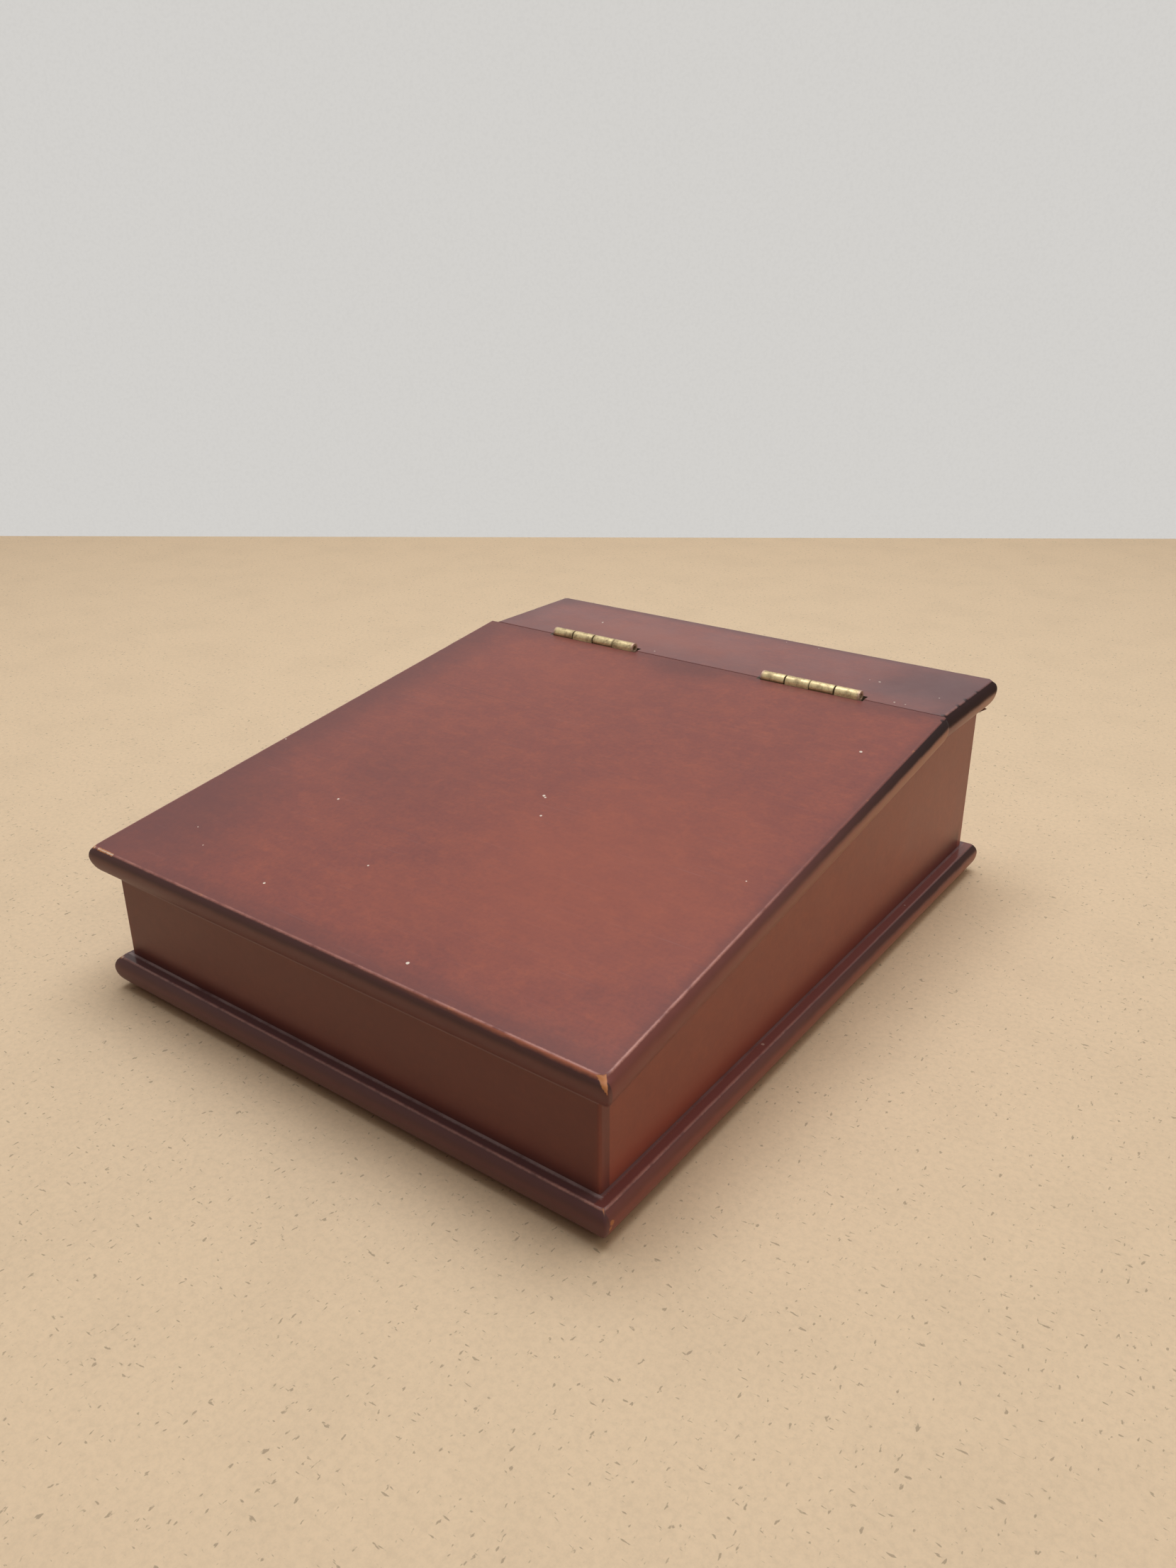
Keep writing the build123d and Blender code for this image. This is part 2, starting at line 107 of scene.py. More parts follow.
class LapDeskColours(bpy.types.PropertyGroup):
    """Colours of the wood, its wear, the metal, the baize and the stage."""
    stain: a_colour("Stain", "Reddish brown of the lacquered wood", (0.238, 0.061, 0.047))
    stain_warm: a_colour("Warm stain", "Orange brown where the stain is thin", (0.352, 0.090, 0.051))
    # Deep stain is also the painted shade of the front edges and of the walls that face away from the light
    deep_stain_and_shade: a_colour("Deep stain", "Purple brown of the burnished parts", (0.100, 0.034, 0.036))
    # Edge stain is the painted dark reflection on the edges' upper half, and the colour of the dents
    dents_and_dark_edge_reflection: a_colour("Edge stain", "Near black brown of the rounded edges", (0.022, 0.009, 0.010))
    # Corner stain is also the painted redder band at the walls' foot, where they reflect the dark base
    corner_stain_and_painted_foot_red: a_colour("Corner stain", "Clear red orange beside the upright corners", (0.45, 0.100, 0.055))
    # Foot stain is painted shade where the walls meet the base
    foot_shade: a_colour("Foot stain", "Deep red brown where the walls meet the base", (0.085, 0.011, 0.006))
    worn: a_colour("Worn arris", "Pale pink brown of a rubbed arris", (0.480, 0.225, 0.185))
    rubbed: a_colour("Rubbed stain", "Orange pink where the stain is rubbed thin", (0.46, 0.150, 0.085))
    # Tan is the painted reflection of the floor on the lower half of the side edges
    tan: a_colour("Tan", "Thin tan of the rounded edges towards the back", (0.50, 0.25, 0.16))
    bare: a_colour("Bare wood", "Orange tan of the wood where the lacquer is gone", (0.570, 0.235, 0.080))
    inside: a_colour("Inside stain", "Thin reddish stain of the well", (0.30, 0.115, 0.060))
    # Dust also paints light into the shaded gap between the lid and the walls
    dust: a_colour("Dust", "Pale dust and old polish in the corners", (0.400, 0.310, 0.330))
    # Haze also paints light on the base's lower front edge, which stands in shade
    haze_and_fill_light: a_colour("Haze", "Lilac grey film of dust and handling", (0.210, 0.165, 0.180))
    paint: a_colour("Paint specks", "Off-white specks of paint", (0.72, 0.62, 0.54))
    brass: a_colour("Brass", "Aged yellow brass", (0.700, 0.565, 0.320))
    patina: a_colour("Patina", "Brown tarnish on the brass", (0.250, 0.170, 0.085))
    splash: a_colour("Splashed lacquer", "Pink brown film of lacquer on the hinges", (0.55, 0.36, 0.28))
    # Grime is also painted shade in the hinges' recesses and the gaps between their knuckles
    grime_and_shade: a_colour("Grime", "Near black dirt in the hinges' pits and recesses", (0.05, 0.03, 0.015))
    pin: a_colour("Pin", "Dark steel of the hinge pins", (0.16, 0.14, 0.12))
    steel: a_colour("Steel", "Grey of the base screws and brads", (0.36, 0.35, 0.33))
    rust: a_colour("Rust", "Brown stain on the steel", (0.16, 0.075, 0.035))
    dowel: a_colour("Dowel wood", "Pale beech of the dowels", (0.56, 0.37, 0.20))
    baize: a_colour("Baize", "Dark green felted wool", (0.030, 0.075, 0.040))
    wool_tips: a_colour("Wool tips", "Paler green where the wool's fibres stand up", (0.055, 0.125, 0.07))
    wool_hollows: a_colour("Wool hollows", "Darker green where the wool is pressed", (0.02, 0.045, 0.026))
    floor: a_colour("Floor", "Pale warm floor", (0.715, 0.560, 0.395))
    backdrop: a_colour("Backdrop", "Pale grey backdrop", (0.655, 0.640, 0.615))


class LapDeskView(bpy.types.PropertyGroup):
    """Where the camera stands and how it looks."""
    place: FloatVectorProperty(
        name="Camera place", description="Where the camera stands",
        default=(0.29558, -0.38788, 0.28286), subtype="TRANSLATION", size=3)
    heading: an_angle("Heading", "Turn of the camera from +Y towards -X", 36.654)
    tilt: an_angle("Tilt", "How far the camera looks down", 23.708)
    roll: an_angle("Roll", "Turn of the camera about its own line of sight", -0.312)
    lens: FloatProperty(
        name="Lens", description="Focal length for a 36 mm long side", default=28.0, unit="CAMERA")


# Shader maths: a wrapped socket can stand in sums, and a finish adds any node

class Link:
    """A shader socket that can be used in arithmetic. Each operation adds one Math node."""

    def __init__(self, finish, socket):
        self.finish = finish
        self.socket = socket

    def math(self, operation, *values):
        return self.finish.node("ShaderNodeMath", {"operation": operation}, dict(enumerate(values)))

    def __add__(self, other):
        return self.math("ADD", self, other)

    def __radd__(self, other):
        return self.math("ADD", other, self)

    def __sub__(self, other):
        return self.math("SUBTRACT", self, other)

    def __rsub__(self, other):
        return self.math("SUBTRACT", other, self)

    def __mul__(self, other):
        return self.math("MULTIPLY", self, other)

    def __rmul__(self, other):
        return self.math("MULTIPLY", other, self)

    def __truediv__(self, other):
        return self.math("DIVIDE", self, other)

    def __pow__(self, other):
        return self.math("POWER", self, other)

    def __neg__(self):
        return self.math("MULTIPLY", self, -1.0)

    def __abs__(self):
        return self.math("ABSOLUTE", self)

    def least(self, other):
        return self.math("MINIMUM", self, other)

    def most(self, other):
        return self.math("MAXIMUM", self, other)

    def between(self, low, high):
        """0 at low, 1 at high, with a soft start and end."""
        settings = {"interpolation_type": "SMOOTHSTEP"}
        return self.finish.node("ShaderNodeMapRange", settings, {0: self, 1: low, 2: high})

    def axes(self):
        """The three numbers of a vector."""
        split = self.finish.node("ShaderNodeSeparateXYZ", {}, {0: self}).socket.node
        return [Link(self.finish, output) for output in split.outputs]


def least_of(links):
    """The smallest of several numbers."""
    return reduce(Link.least, links)


def most_of(links):
    """The largest of several numbers."""
    return reduce(Link.most, links)


def diagonal(across, along):
    """Distance to a line, from the distances along two directions at right angles."""
    return (across * across + along * along) ** 0.5


class Finish:
    """The node tree of one material, or of the room, and the colour that it has so far."""

    def __init__(self, name, kind="materials", output="ShaderNodeOutputMaterial"):
        self.material = getattr(bpy.data, kind).new(name)
        self.material.use_nodes = True
        self.tree = self.material.node_tree
        self.tree.nodes.clear()
        self.output = output
        self.colour = None

    def node(self, kind, settings, values, output=0):
        """Adds a node: its settings first, then the numbers or links of its sockets."""
        made = self.tree.nodes.new(kind)
        for name, setting in settings.items():
            setattr(made, name, setting)
        for name, value in values.items():
            if isinstance(value, Link):
                self.tree.links.new(value.socket, made.inputs[name])
            else:
                made.inputs[name].default_value = value
        return Link(self, made.outputs[output])

    def point(self, matrix=Matrix.Identity(4)):
        """The place on the piece in millimetres, measured from a board's own origin if it is given one."""
        into = matrix.inverted()
        values = {
            "Vector": self.node("ShaderNodeTexCoord", {}, {}, "Object"),
            "Location": into.translation * TO_MM,
            "Rotation": into.to_euler(),
            "Scale": (TO_MM,) * 3,
        }
        return self.node("ShaderNodeMapping", {"vector_type": "POINT"}, values)

    def vector(self, operation, first, second, output=0):
        """Arithmetic with two vectors."""
        return self.node("ShaderNodeVectorMath", {"operation": operation}, {0: first, 1: second}, output)

    def stretched(self, vector, scale):
        """A vector with each of its numbers multiplied."""
        return self.vector("MULTIPLY", vector, scale)

    def distance(self, vector, place):
        """How far a point lies from a fixed one."""
        return self.vector("DISTANCE", vector, place, "Value")

    def cloud(self, vector, size, detail=3.0, roughness=0.55, distortion=0.0):
        """Soft noise from 0 to 1, with patches of about the given size."""
        values = {"Vector": vector, "Scale": 1.0 / size, "Detail": detail, "Roughness": roughness,
                  "Distortion": distortion}
        return self.node("ShaderNodeTexNoise", {"noise_dimensions": "3D"}, values)

    def cells(self, vector, size):
        """Distance to the nearest of many scattered points."""
        return self.node("ShaderNodeTexVoronoi", {"feature": "F1"}, {"Vector": vector, "Scale": 1.0 / size})

    def mix(self, first, second, share):
        """A colour between two colours."""
        first, second = (c if isinstance(c, Link) else (*c, 1.0) for c in (first, second))
        return self.node("ShaderNodeMix", {"data_type": "RGBA"}, {0: share, 6: first, 7: second}, 2)

    def tint(self, colour, share):
        """Lays another colour over the finish's own, by a share from 0 to 1."""
        self.colour = self.mix(self.colour, colour, share)

    def bump(self, height, depth):
        """Surface relief: height from 0 to 1 over a depth in metres."""
        return self.node("ShaderNodeBump", {}, {"Height": height, "Distance": depth, "Strength": 1.0})

    def surface(self, values):
        """The shader, in the finish's colour. Fixed numbers stand on the shader's own sockets."""
        self.show(self.node("ShaderNodeBsdfPrincipled", {}, {"Base Color": self.colour, **values}))
        return self.material

    def show(self, shader):
        """Joins a shader to the output."""
        self.tree.links.new(shader.socket, self.tree.nodes.new(self.output).inputs["Surface"])


# Boards: a flat or sloping board with rounded edges

class Board:
    """A board's upper face and edges. Its own origin is on the upper face, with u across, v along
    its depth and w up; the arrises lie at the given distances from the origin."""

    def __init__(self, origin, left, right, front, back, thickness, slope=0.0, square=()):
        self.matrix = Matrix.Translation(origin) @ Matrix.Rotation(slope, 4, "X")
        self.left, self.right, self.front, self.back = left, right, front, back
        self.thickness = thickness
        self.square = square
        # A board that is cut at its own origin ends there
        self.back_line = 0.0 if "back" in square else back


def nose_radius(sizes):
    """Radius of the rounded edge's upper part."""
    out, down = sizes.nose_projection, sizes.nose_depth
    return (out ** 2 + down ** 2) / (2 * out)


def nose_profile(sizes, thickness):
    """Steps of the rounded edge from the arris down: how far out and how far down each one lies."""
    bulge_steps, under_steps = 8, 10
    out, down = sizes.nose_projection, sizes.nose_depth
    radius = nose_radius(sizes)
    start = asin(down / radius)
    steps = []
    for index in range(1, bulge_steps + 1):
        angle = start * (1 - index / bulge_steps)
        steps.append((out - radius + radius * cos(angle), down - radius * sin(angle)))
    for index in range(1, under_steps + 1):
        angle = pi / 2 * index / under_steps
        inward = sizes.nose_undercut * (1 - cos(angle))
        steps.append((out - inward, down + (thickness - down) * sin(angle)))
    return steps


def ring_of(vertices):
    """The edges between the vertices of one ring."""
    members = set(vertices)
    return list({e for v in vertices for e in v.link_edges if e.other_vert(v) in members})


def ease(bm, edges, offset, segments=3, clamp_overlap=False):
    """Rounds edges."""
    bmesh.ops.bevel(bm, geom=edges, offset=offset, affect="EDGES", segments=segments, profile=0.5,
                    material=-1, clamp_overlap=clamp_overlap)


def board_shape(sizes, board):
    """A board with rounded edges, in its own u, v and w: its upper face first, then ring by ring down."""
    bm = bmesh.new()
    corners = [(board.left, board.front), (board.right, board.front),
               (board.right, board.back), (board.left, board.back)]
    top = bm.faces.new([bm.verts.new((u, v, 0.0)) for u, v in corners])
    for edge in list(top.edges):
        cuts = int(edge.calc_length() / sizes.arris_step)
        bmesh.ops.subdivide_edges(bm, edges=[edge], cuts=cuts)
    # Axis, direction and line of each arris whose edge is rounded
    arrises = {"left": (0, -1, board.left), "right": (0, 1, board.right),
               "front": (1, -1, board.front), "back": (1, 1, board.back)}
    rounded = [arris for side, arris in arrises.items() if side not in board.square]
    ring = list(bm.verts)
    reached = 0.0
    near = sizes.arris_step / 100
    for out, down in nose_profile(sizes, board.thickness):
        made = bmesh.ops.extrude_edge_only(bm, edges=ring_of(ring))["geom"]
        ring = [g for g in made if isinstance(g, bmesh.types.BMVert)]
        for vertex in ring:
            for axis, direction, line in rounded:
                if direction * (vertex.co[axis] - line) > reached - near:
                    vertex.co[axis] += direction * (out - reached)
            vertex.co.z = -down
        reached = out
    bmesh.ops.contextual_create(bm, geom=ring_of(ring))
    bmesh.ops.recalc_face_normals(bm, faces=bm.faces)
    return bm


def round_mitres(bm, sizes, board, share):
    """Rubs the corners of the rounded edge round."""
    near = sizes.arris_step / 100

    def on_mitre(vertex):
        out_u = max(board.left - vertex.co.x, vertex.co.x - board.right)
        out_v = max(board.front - vertex.co.y, vertex.co.y - board.back)
        return abs(out_u - out_v) < near

    edges = [e for e in bm.edges
             if all(on_mitre(v) for v in e.verts) and e.verts[0].co.z != e.verts[1].co.z]
    ease(bm, edges, sizes.mitre_rounding * share)


def soften_arris(bm, sizes):
    """Rounds the upper arris a little, as sanding does."""
    level, upright = 1e-7, 0.9
    edges = [e for e in bm.edges
             if all(abs(v.co.z) < level for v in e.verts) and any(f.normal.z < upright for f in e.link_faces)]
    ease(bm, edges, sizes.arris_rounding)


def wear_down(bm, board, chips, seed):
    """Chips and fine nicks along the arrises: points near a chip move inward and down."""
    nick_size, nick_depth, nick_from, reach = 7 * MM, 0.32 * MM, 0.25, 1.4 * MM
    inward_share, down_share, depth_share, face = 0.7, 0.5, 0.5, -1e-6
    for vertex in bm.verts:
        co = vertex.co
        if co.z < -reach:
            continue
        inward = Vector((
            (co.x < board.left + reach) - (co.x > board.right - reach),
            (co.y < board.front + reach) - (co.y > board.back - reach),
            0.0,
        ))
        if not inward.length:
            continue
        roughness = noise.noise(co / nick_size + Vector((seed, 0, 0)))
        move = max(0.0, roughness - nick_from) * nick_depth
        for u, v, radius, depth in chips:
            away = (Vector((u, v, 0.0)) - Vector((co.x, co.y, co.z * depth_share))).length
            if away < radius:
                move = max(move, depth * (1 - (away / radius) ** 2))
        vertex.co += inward.normalized() * move * inward_share
        vertex.co.z -= move * down_share if co.z < face else 0.0


def chip(u, v, radius, depth):
    """A chip at a place on a board, with its radius and depth in millimetres."""
    return u, v, radius * MM, depth * MM


def worn_board(sizes, board, chips, seed, mitre_share=1.0):
    """A board with rounded edges, rubbed and chipped, at its place in the desk."""
    bm = board_shape(sizes, board)
    round_mitres(bm, sizes, board, mitre_share)
    soften_arris(bm, sizes)
    wear_down(bm, board, chips, seed)
    bmesh.ops.transform(bm, matrix=board.matrix, verts=bm.verts)
    return bm


def object_from(bm, name):
    """A new object from a bmesh, with its small faces shaded smooth and its large flat ones flat."""
    flat_area = 12 * MM * MM
    mesh = bpy.data.meshes.new(name)
    for face in bm.faces:
        face.smooth = face.calc_area() < flat_area
    bm.to_mesh(mesh)
    bm.free()
    made = bpy.data.objects.new(name, mesh)
    bpy.context.scene.collection.objects.link(made)
    return made


def cut_out(made, bm):
    """Cuts a shape out of an object."""
    cutter = object_from(bm, "cutter")
    tool = made.modifiers.new("cut", "BOOLEAN")
    tool.operation = "DIFFERENCE"
    tool.solver = "EXACT"
    tool.object = cutter
    done = bpy.data.meshes.new_from_object(made.evaluated_get(bpy.context.evaluated_depsgraph_get()))
    made.modifiers.remove(tool)
    made.data = done
    bpy.data.objects.remove(cutter)


def place(made, material, body, slot, node):
    """Gives a finished piece its material and its body, and hides the node that it stands for."""
    made.data.materials.clear()
    made.data.materials.append(material)
    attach(made, body)
    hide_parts(node)


def block(low, high):
    """A box between two corners."""
    bm = bmesh.new()
    bmesh.ops.create_cube(bm, size=1.0)
    low, high = Vector(low), Vector(high)
    bmesh.ops.scale(bm, vec=high - low, verts=bm.verts)
    bmesh.ops.translate(bm, vec=(low + high) / 2, verts=bm.verts)
    return bm


def bar(start, end, radius):
    """A round bar between two points on a line along X."""
    sides = 48
    bm = bmesh.new()
    bmesh.ops.create_cone(bm, cap_ends=True, segments=sides, radius1=radius, radius2=radius,
                          depth=(end - start).length)
    bmesh.ops.rotate(bm, matrix=Matrix.Rotation(pi / 2, 3, "Y"), verts=bm.verts)
    bmesh.ops.translate(bm, vec=(start + end) / 2, verts=bm.verts)
    return bm


def cut_recesses(made, sizes, seam):
    """Cuts both hinges' recesses into a board's edge: a round one for the barrel, a flat one for the leaf."""
    left_gap, right_gap, leaf_gap = 0.4 * MM, 2.0 * MM, 0.1 * MM
    for side in SIDES:
        low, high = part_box(f"hinge_{side}_ledge_leaf")
        start = Vector((low.x - left_gap, HINGE.y, HINGE.z))
        end = Vector((high.x + right_gap, HINGE.y, HINGE.z))
        cut_out(made, bar(start, end, sizes.barrel_radius + sizes.swing_clearance))
        cut_out(made, block((low.x - leaf_gap, seam - sizes.leaf_thickness, low.z - leaf_gap),
                            (high.x + leaf_gap, seam + sizes.leaf_thickness, HINGE.z)))


def eased_copy(node, name, easing):
    """A copy of a node's shape, with its sharp outer edges eased, shaded smooth between crisp edges."""
    same_point = 0.001 * MM
    flat_within, sharp_over, crisp_over = radians(1.0), radians(50.0), radians(40.0)
    bm = bmesh.new()
    bm.from_mesh(frame["nodes"][node].data)
    bmesh.ops.remove_doubles(bm, verts=bm.verts, dist=same_point)
    bmesh.ops.dissolve_limit(bm, angle_limit=flat_within, verts=bm.verts, edges=bm.edges)
    sharp = [e for e in bm.edges
             if len(e.link_faces) == 2 and e.is_convex and e.calc_face_angle() > sharp_over]
    ease(bm, sharp, easing, segments=2, clamp_overlap=True)
    made = object_from(bm, name)
    for polygon in made.data.polygons:
        polygon.use_smooth = True
    made.data.set_sharp_from_angle(angle=crisp_over)
    return made


def dress(name, material):
    """Puts a material on a node that keeps its own shape."""
    node = frame["nodes"][name]
    node.data.materials.clear()
    node.data.materials.append(material)


# The desk's own measures, from the frame

def base_of(sizes):
    """The base board, with rounded edges on all four sides."""
    low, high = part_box("base_board")
    out = sizes.nose_projection
    return Board((0, 0, high.z), low.x + out, high.x - out, low.y + out, high.y - out, high.z - low.z)


def ledge_of(sizes):
    """The rear ledge, whose front edge is square."""
    low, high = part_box("rear_ledge")
    out = sizes.nose_projection
    return Board((0, 0, high.z), low.x + out, high.x - out, low.y, high.y - out, high.z - low.z,
                 square=("front",))


def lid_of(sizes):
    """The lid's origin is at its back edge. Its length comes from how far its rounded front reaches."""
    low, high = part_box("writing_lid")
    out, down, slope = sizes.nose_projection, sizes.nose_depth, sizes.lid_slope
    radius = nose_radius(sizes)
    front_reach = (out - radius) * cos(slope) - down * sin(slope) + radius
    length = (high.y - low.y - front_reach) / cos(slope)
    return Board((0, high.y, high.z), low.x + out, high.x - out, -length, sizes.lid_thickness,
                 sizes.lid_thickness, slope=slope, square=("back",))


def walls_box():
    """The lowest and the highest corner of the four walls together, in millimetres."""
    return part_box("front_wall")[0] * TO_MM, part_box("back_wall")[1] * TO_MM


# Lacquered wood

FIBRE_STRETCH = {"u": (0.035, 1.0, 1.0), "v": (1.0, 0.035, 1.0)}


class Lacquer(Finish):
    """Lacquered wood, as all boards and walls have it: a stain with clouds, mottle and fibres in it."""

    def __init__(self, name, colours, grain, seed, matrix=Matrix.Identity(4)):
        super().__init__(name)
        self.colours = colours
        self.place = self.point(matrix)
        self.u, self.v, self.w = self.place.axes()
        self.fine = self.cloud(self.place, 1.0, detail=3)
        self.patchy = self.cloud(self.place, 9.0, detail=4, roughness=0.65)
        self.rubbing = self.cloud(self.place, 24.0, detail=5, roughness=0.7)
        moved = self.vector("ADD", self.place, (seed, seed * 0.7, 0.0))
        along = self.stretched(moved, FIBRE_STRETCH[grain])
        self.clouds = self.cloud(moved, 55, detail=4, roughness=0.6, distortion=0.5)
        self.patches = self.cloud(self.stretched(moved, (0.7, 1.0, 1.0)), 13, detail=5, roughness=0.6)
        blotches = self.cloud(self.stretched(moved, (0.75, 1.0, 1.0)), 4.5, detail=3, roughness=0.5)
        self.mottle = self.cloud(moved, 1.8, detail=4, roughness=0.7)
        self.fibres = self.cloud(along, 1.6, detail=5, roughness=0.65)
        self.pores = self.cloud(along, 0.45, detail=3, roughness=0.6)
        self.colour = self.mix(colours.stain, colours.stain_warm, self.patches.between(0.38, 0.72) * 0.35)
        self.tint(colours.stain_warm, blotches.between(0.45, 0.75) * 0.38)
        self.tint(colours.deep_stain_and_shade, self.clouds.between(0.45, 0.80) * 0.16)
        self.tint(colours.deep_stain_and_shade, self.mottle.between(0.35, 0.75) * 0.32)
        self.tint(colours.deep_stain_and_shade, self.fibres.between(0.35, 0.75) * 0.10)
        self.gloss = 0.28
        self.bare = 0.0

    def uneven(self, size):
        """A shift of up to half the given size either way, from fine noise."""
        return (self.fine - 0.5) * size

    def spots(self, marks, rough):
        """1 inside any of the marks, with an uneven outline, and 0 outside."""
        return most_of(
            1.0 - (self.distance(self.place, (u, v, w)) + rough * radius).between(radius * 0.70, radius)
            for u, v, w, radius in marks)

    def thin_stain(self, warmth):
        """The wood inside and underneath, where the figure shows through a thin stain."""
        colours = self.colours
        figure = self.mix(colours.inside, colours.deep_stain_and_shade, self.fibres.between(0.42, 0.68) * 0.65)
        figure = self.mix(figure, colours.deep_stain_and_shade, self.pores.between(0.55, 0.7) * 0.4)
        return self.mix(figure, colours.stain_warm, warmth.between(0.4, 0.7) * 0.5)

    def coated(self, ior):
        """The lacquer's shader, with the relief of the grain under it."""
        relief = self.mottle * 0.3 + self.fibres * 0.5 + self.pores * 0.2 - self.bare * 4.0
        return self.surface({"Roughness": self.gloss, "IOR": ior, "Normal": self.bump(relief, 0.010 * MM)})


# What a board's look says, with places in millimetres and strengths from 0 to 1:
# grain and seed: the fibres' direction, and what sets this board's noise apart
# gloss and dull_edge: roughness of the face, and what the rounded edge adds to it
# edge: how dark the upper half of the edge is, painted as a dark reflection, at the front and at the near and
# far ends of the sides
# band and deepen: the depths between which it fades, and how much lower it reaches at the back
# flank and tan: how deep the edge's stain is at the sides and the front, where the deeper front is painted
# shade, and how tan the sides are, a painted reflection of the floor
# inside: share of thin stain underneath
# margins: width and strength of the smoked margin along each side
# smoke and glow: smoked and warm patches, each with its middle, half sizes and strength
# arrises, wear and near: which arrises are rubbed, how much, and how far from the near corner still more
# zone and nicks: strength of the rubbed front near that corner, and of the bare nicks
# corner: width and depth of the bare wood at the near corner
# specks: place and radius of each speck of paint
# The lid's places are measured from the middle of the seam, the other boards' from the desk's middle.

LID_LOOK = {
    "grain": "u", "seed": 3.0, "gloss": 0.28, "dull_edge": 0.10,
    "edge": (0.60, 0.22, 1.0), "band": (2.4, 4.6), "deepen": 0.9, "flank": (0.20, 0.82), "tan": 0.65,
    "inside": 1.0,
    "margins": {"left": (34.0, 0.62), "back": (10.0, 0.55), "right": (6.0, 0.45), "front": (15.0, 0.50)},
    "smoke_and_shade": (
        (0.0, -4.0, 36.0, 20.0, 0.62), (98.0, -2.0, 48.0, 13.0, 0.45), (-104.0, -2.0, 42.0, 13.0, 0.35),
        (-126.0, -105.0, 27.0, 44.0, 0.50), (-124.0, -220.0, 66.0, 72.0, 0.62),
        (-4.0, -247.0, 46.0, 9.0, 0.42), (-60.0, -150.0, 80.0, 50.0, 0.16), (72.0, -101.0, 3.0, 9.0, 0.14),
        (102.0, -223.0, 5.5, 6.0, 0.10),
    ),
    "glow": (
        (70.0, -165.0, 90.0, 90.0, 0.34), (-40.0, -35.0, 60.0, 28.0, 0.12), (20.0, -215.0, 60.0, 28.0, 0.20),
    ),
    "arrises": ("left", "right", "front"), "wear": 0.55, "near": 120.0, "zone": 0.75, "nicks": 0.35,
    "corner": (3.2, 4.6),
    "specks": (
        (108.6, -43.2, 0.75), (12.7, -133.1, 0.75), (14.0, -133.9, 0.55), (21.1, -145.8, 0.60),
        (-62.8, -175.8, 0.60), (-15.4, -205.4, 0.50), (-42.4, -233.4, 0.60), (39.1, -241.0, 0.80),
        (113.6, -145.8, 0.35), (-99.3, -219.7, 0.35), (-85.9, -227.7, 0.30), (-125.6, -149.0, 0.45),
    ),
}
LEDGE_LOOK = {
    "grain": "u", "seed": 41.0, "gloss": 0.28, "dull_edge": 0.0,
    "edge": (0.9, 0.97, 0.97), "band": (4.2, 8.0), "deepen": 0.0, "flank": (0.25, 0.50), "tan": 0.60,
    "inside": 1.0,
    "margins": {"left": (14.0, 0.6), "right": (18.0, 0.75), "back": (9.0, 0.7), "front": (40.0, 0.3)},
    "smoke_and_shade": (
        (-122.0, 152.0, 34.0, 18.0, 0.75), (118.0, 128.0, 60.0, 46.0, 0.90), (30.0, 154.0, 90.0, 10.0, 0.45),
        (-120.0, 110.0, 16.0, 30.0, 0.5), (60.0, 106.0, 60.0, 12.0, 0.25),
    ),
    "glow": ((-40.0, 118.0, 70.0, 22.0, 0.45),),
    "arrises": ("left", "right", "back"), "wear": 0.12, "near": 30.0, "zone": 0.0, "nicks": 0.10,
    "corner": (0.3, 1.0),
    "specks": (
        (-76.2, 125.8, 0.60), (-75.7, 124.9, 0.50), (85.2, 120.5, 0.65), (80.2, 120.8, 0.35),
        (101.9, 98.8, 0.50), (107.0, 98.8, 0.40), (-25.1, 99.2, 0.45), (39.1, 150.8, 0.40),
        (21.0, 150.8, 0.35), (115.9, 115.3, 0.40),
    ),
}
BASE_LOOK = {
    "grain": "v", "seed": 77.0, "gloss": 0.08, "dull_edge": 0.30,
    "edge": (0.42, 0.38, 0.90), "band": (2.4, 5.0), "deepen": 0.0, "flank": (0.0, 0.75), "tan": 0.30,
    "inside": 0.6,
    "margins": {side: (30.0, 0.97) for side in ("left", "right", "back", "front")},
    "smoke_and_shade": (), "glow": (),
    "arrises": ("left", "right", "front", "back"), "wear": 0.62, "near": 60.0, "zone": 0.0, "nicks": 0.1,
    "corner": (0.5, 1.6),
    "specks": ((124.5, -51.1, 0.75), (124.8, 77.3, 0.45), (-120.8, -153.6, 0.50)),
}


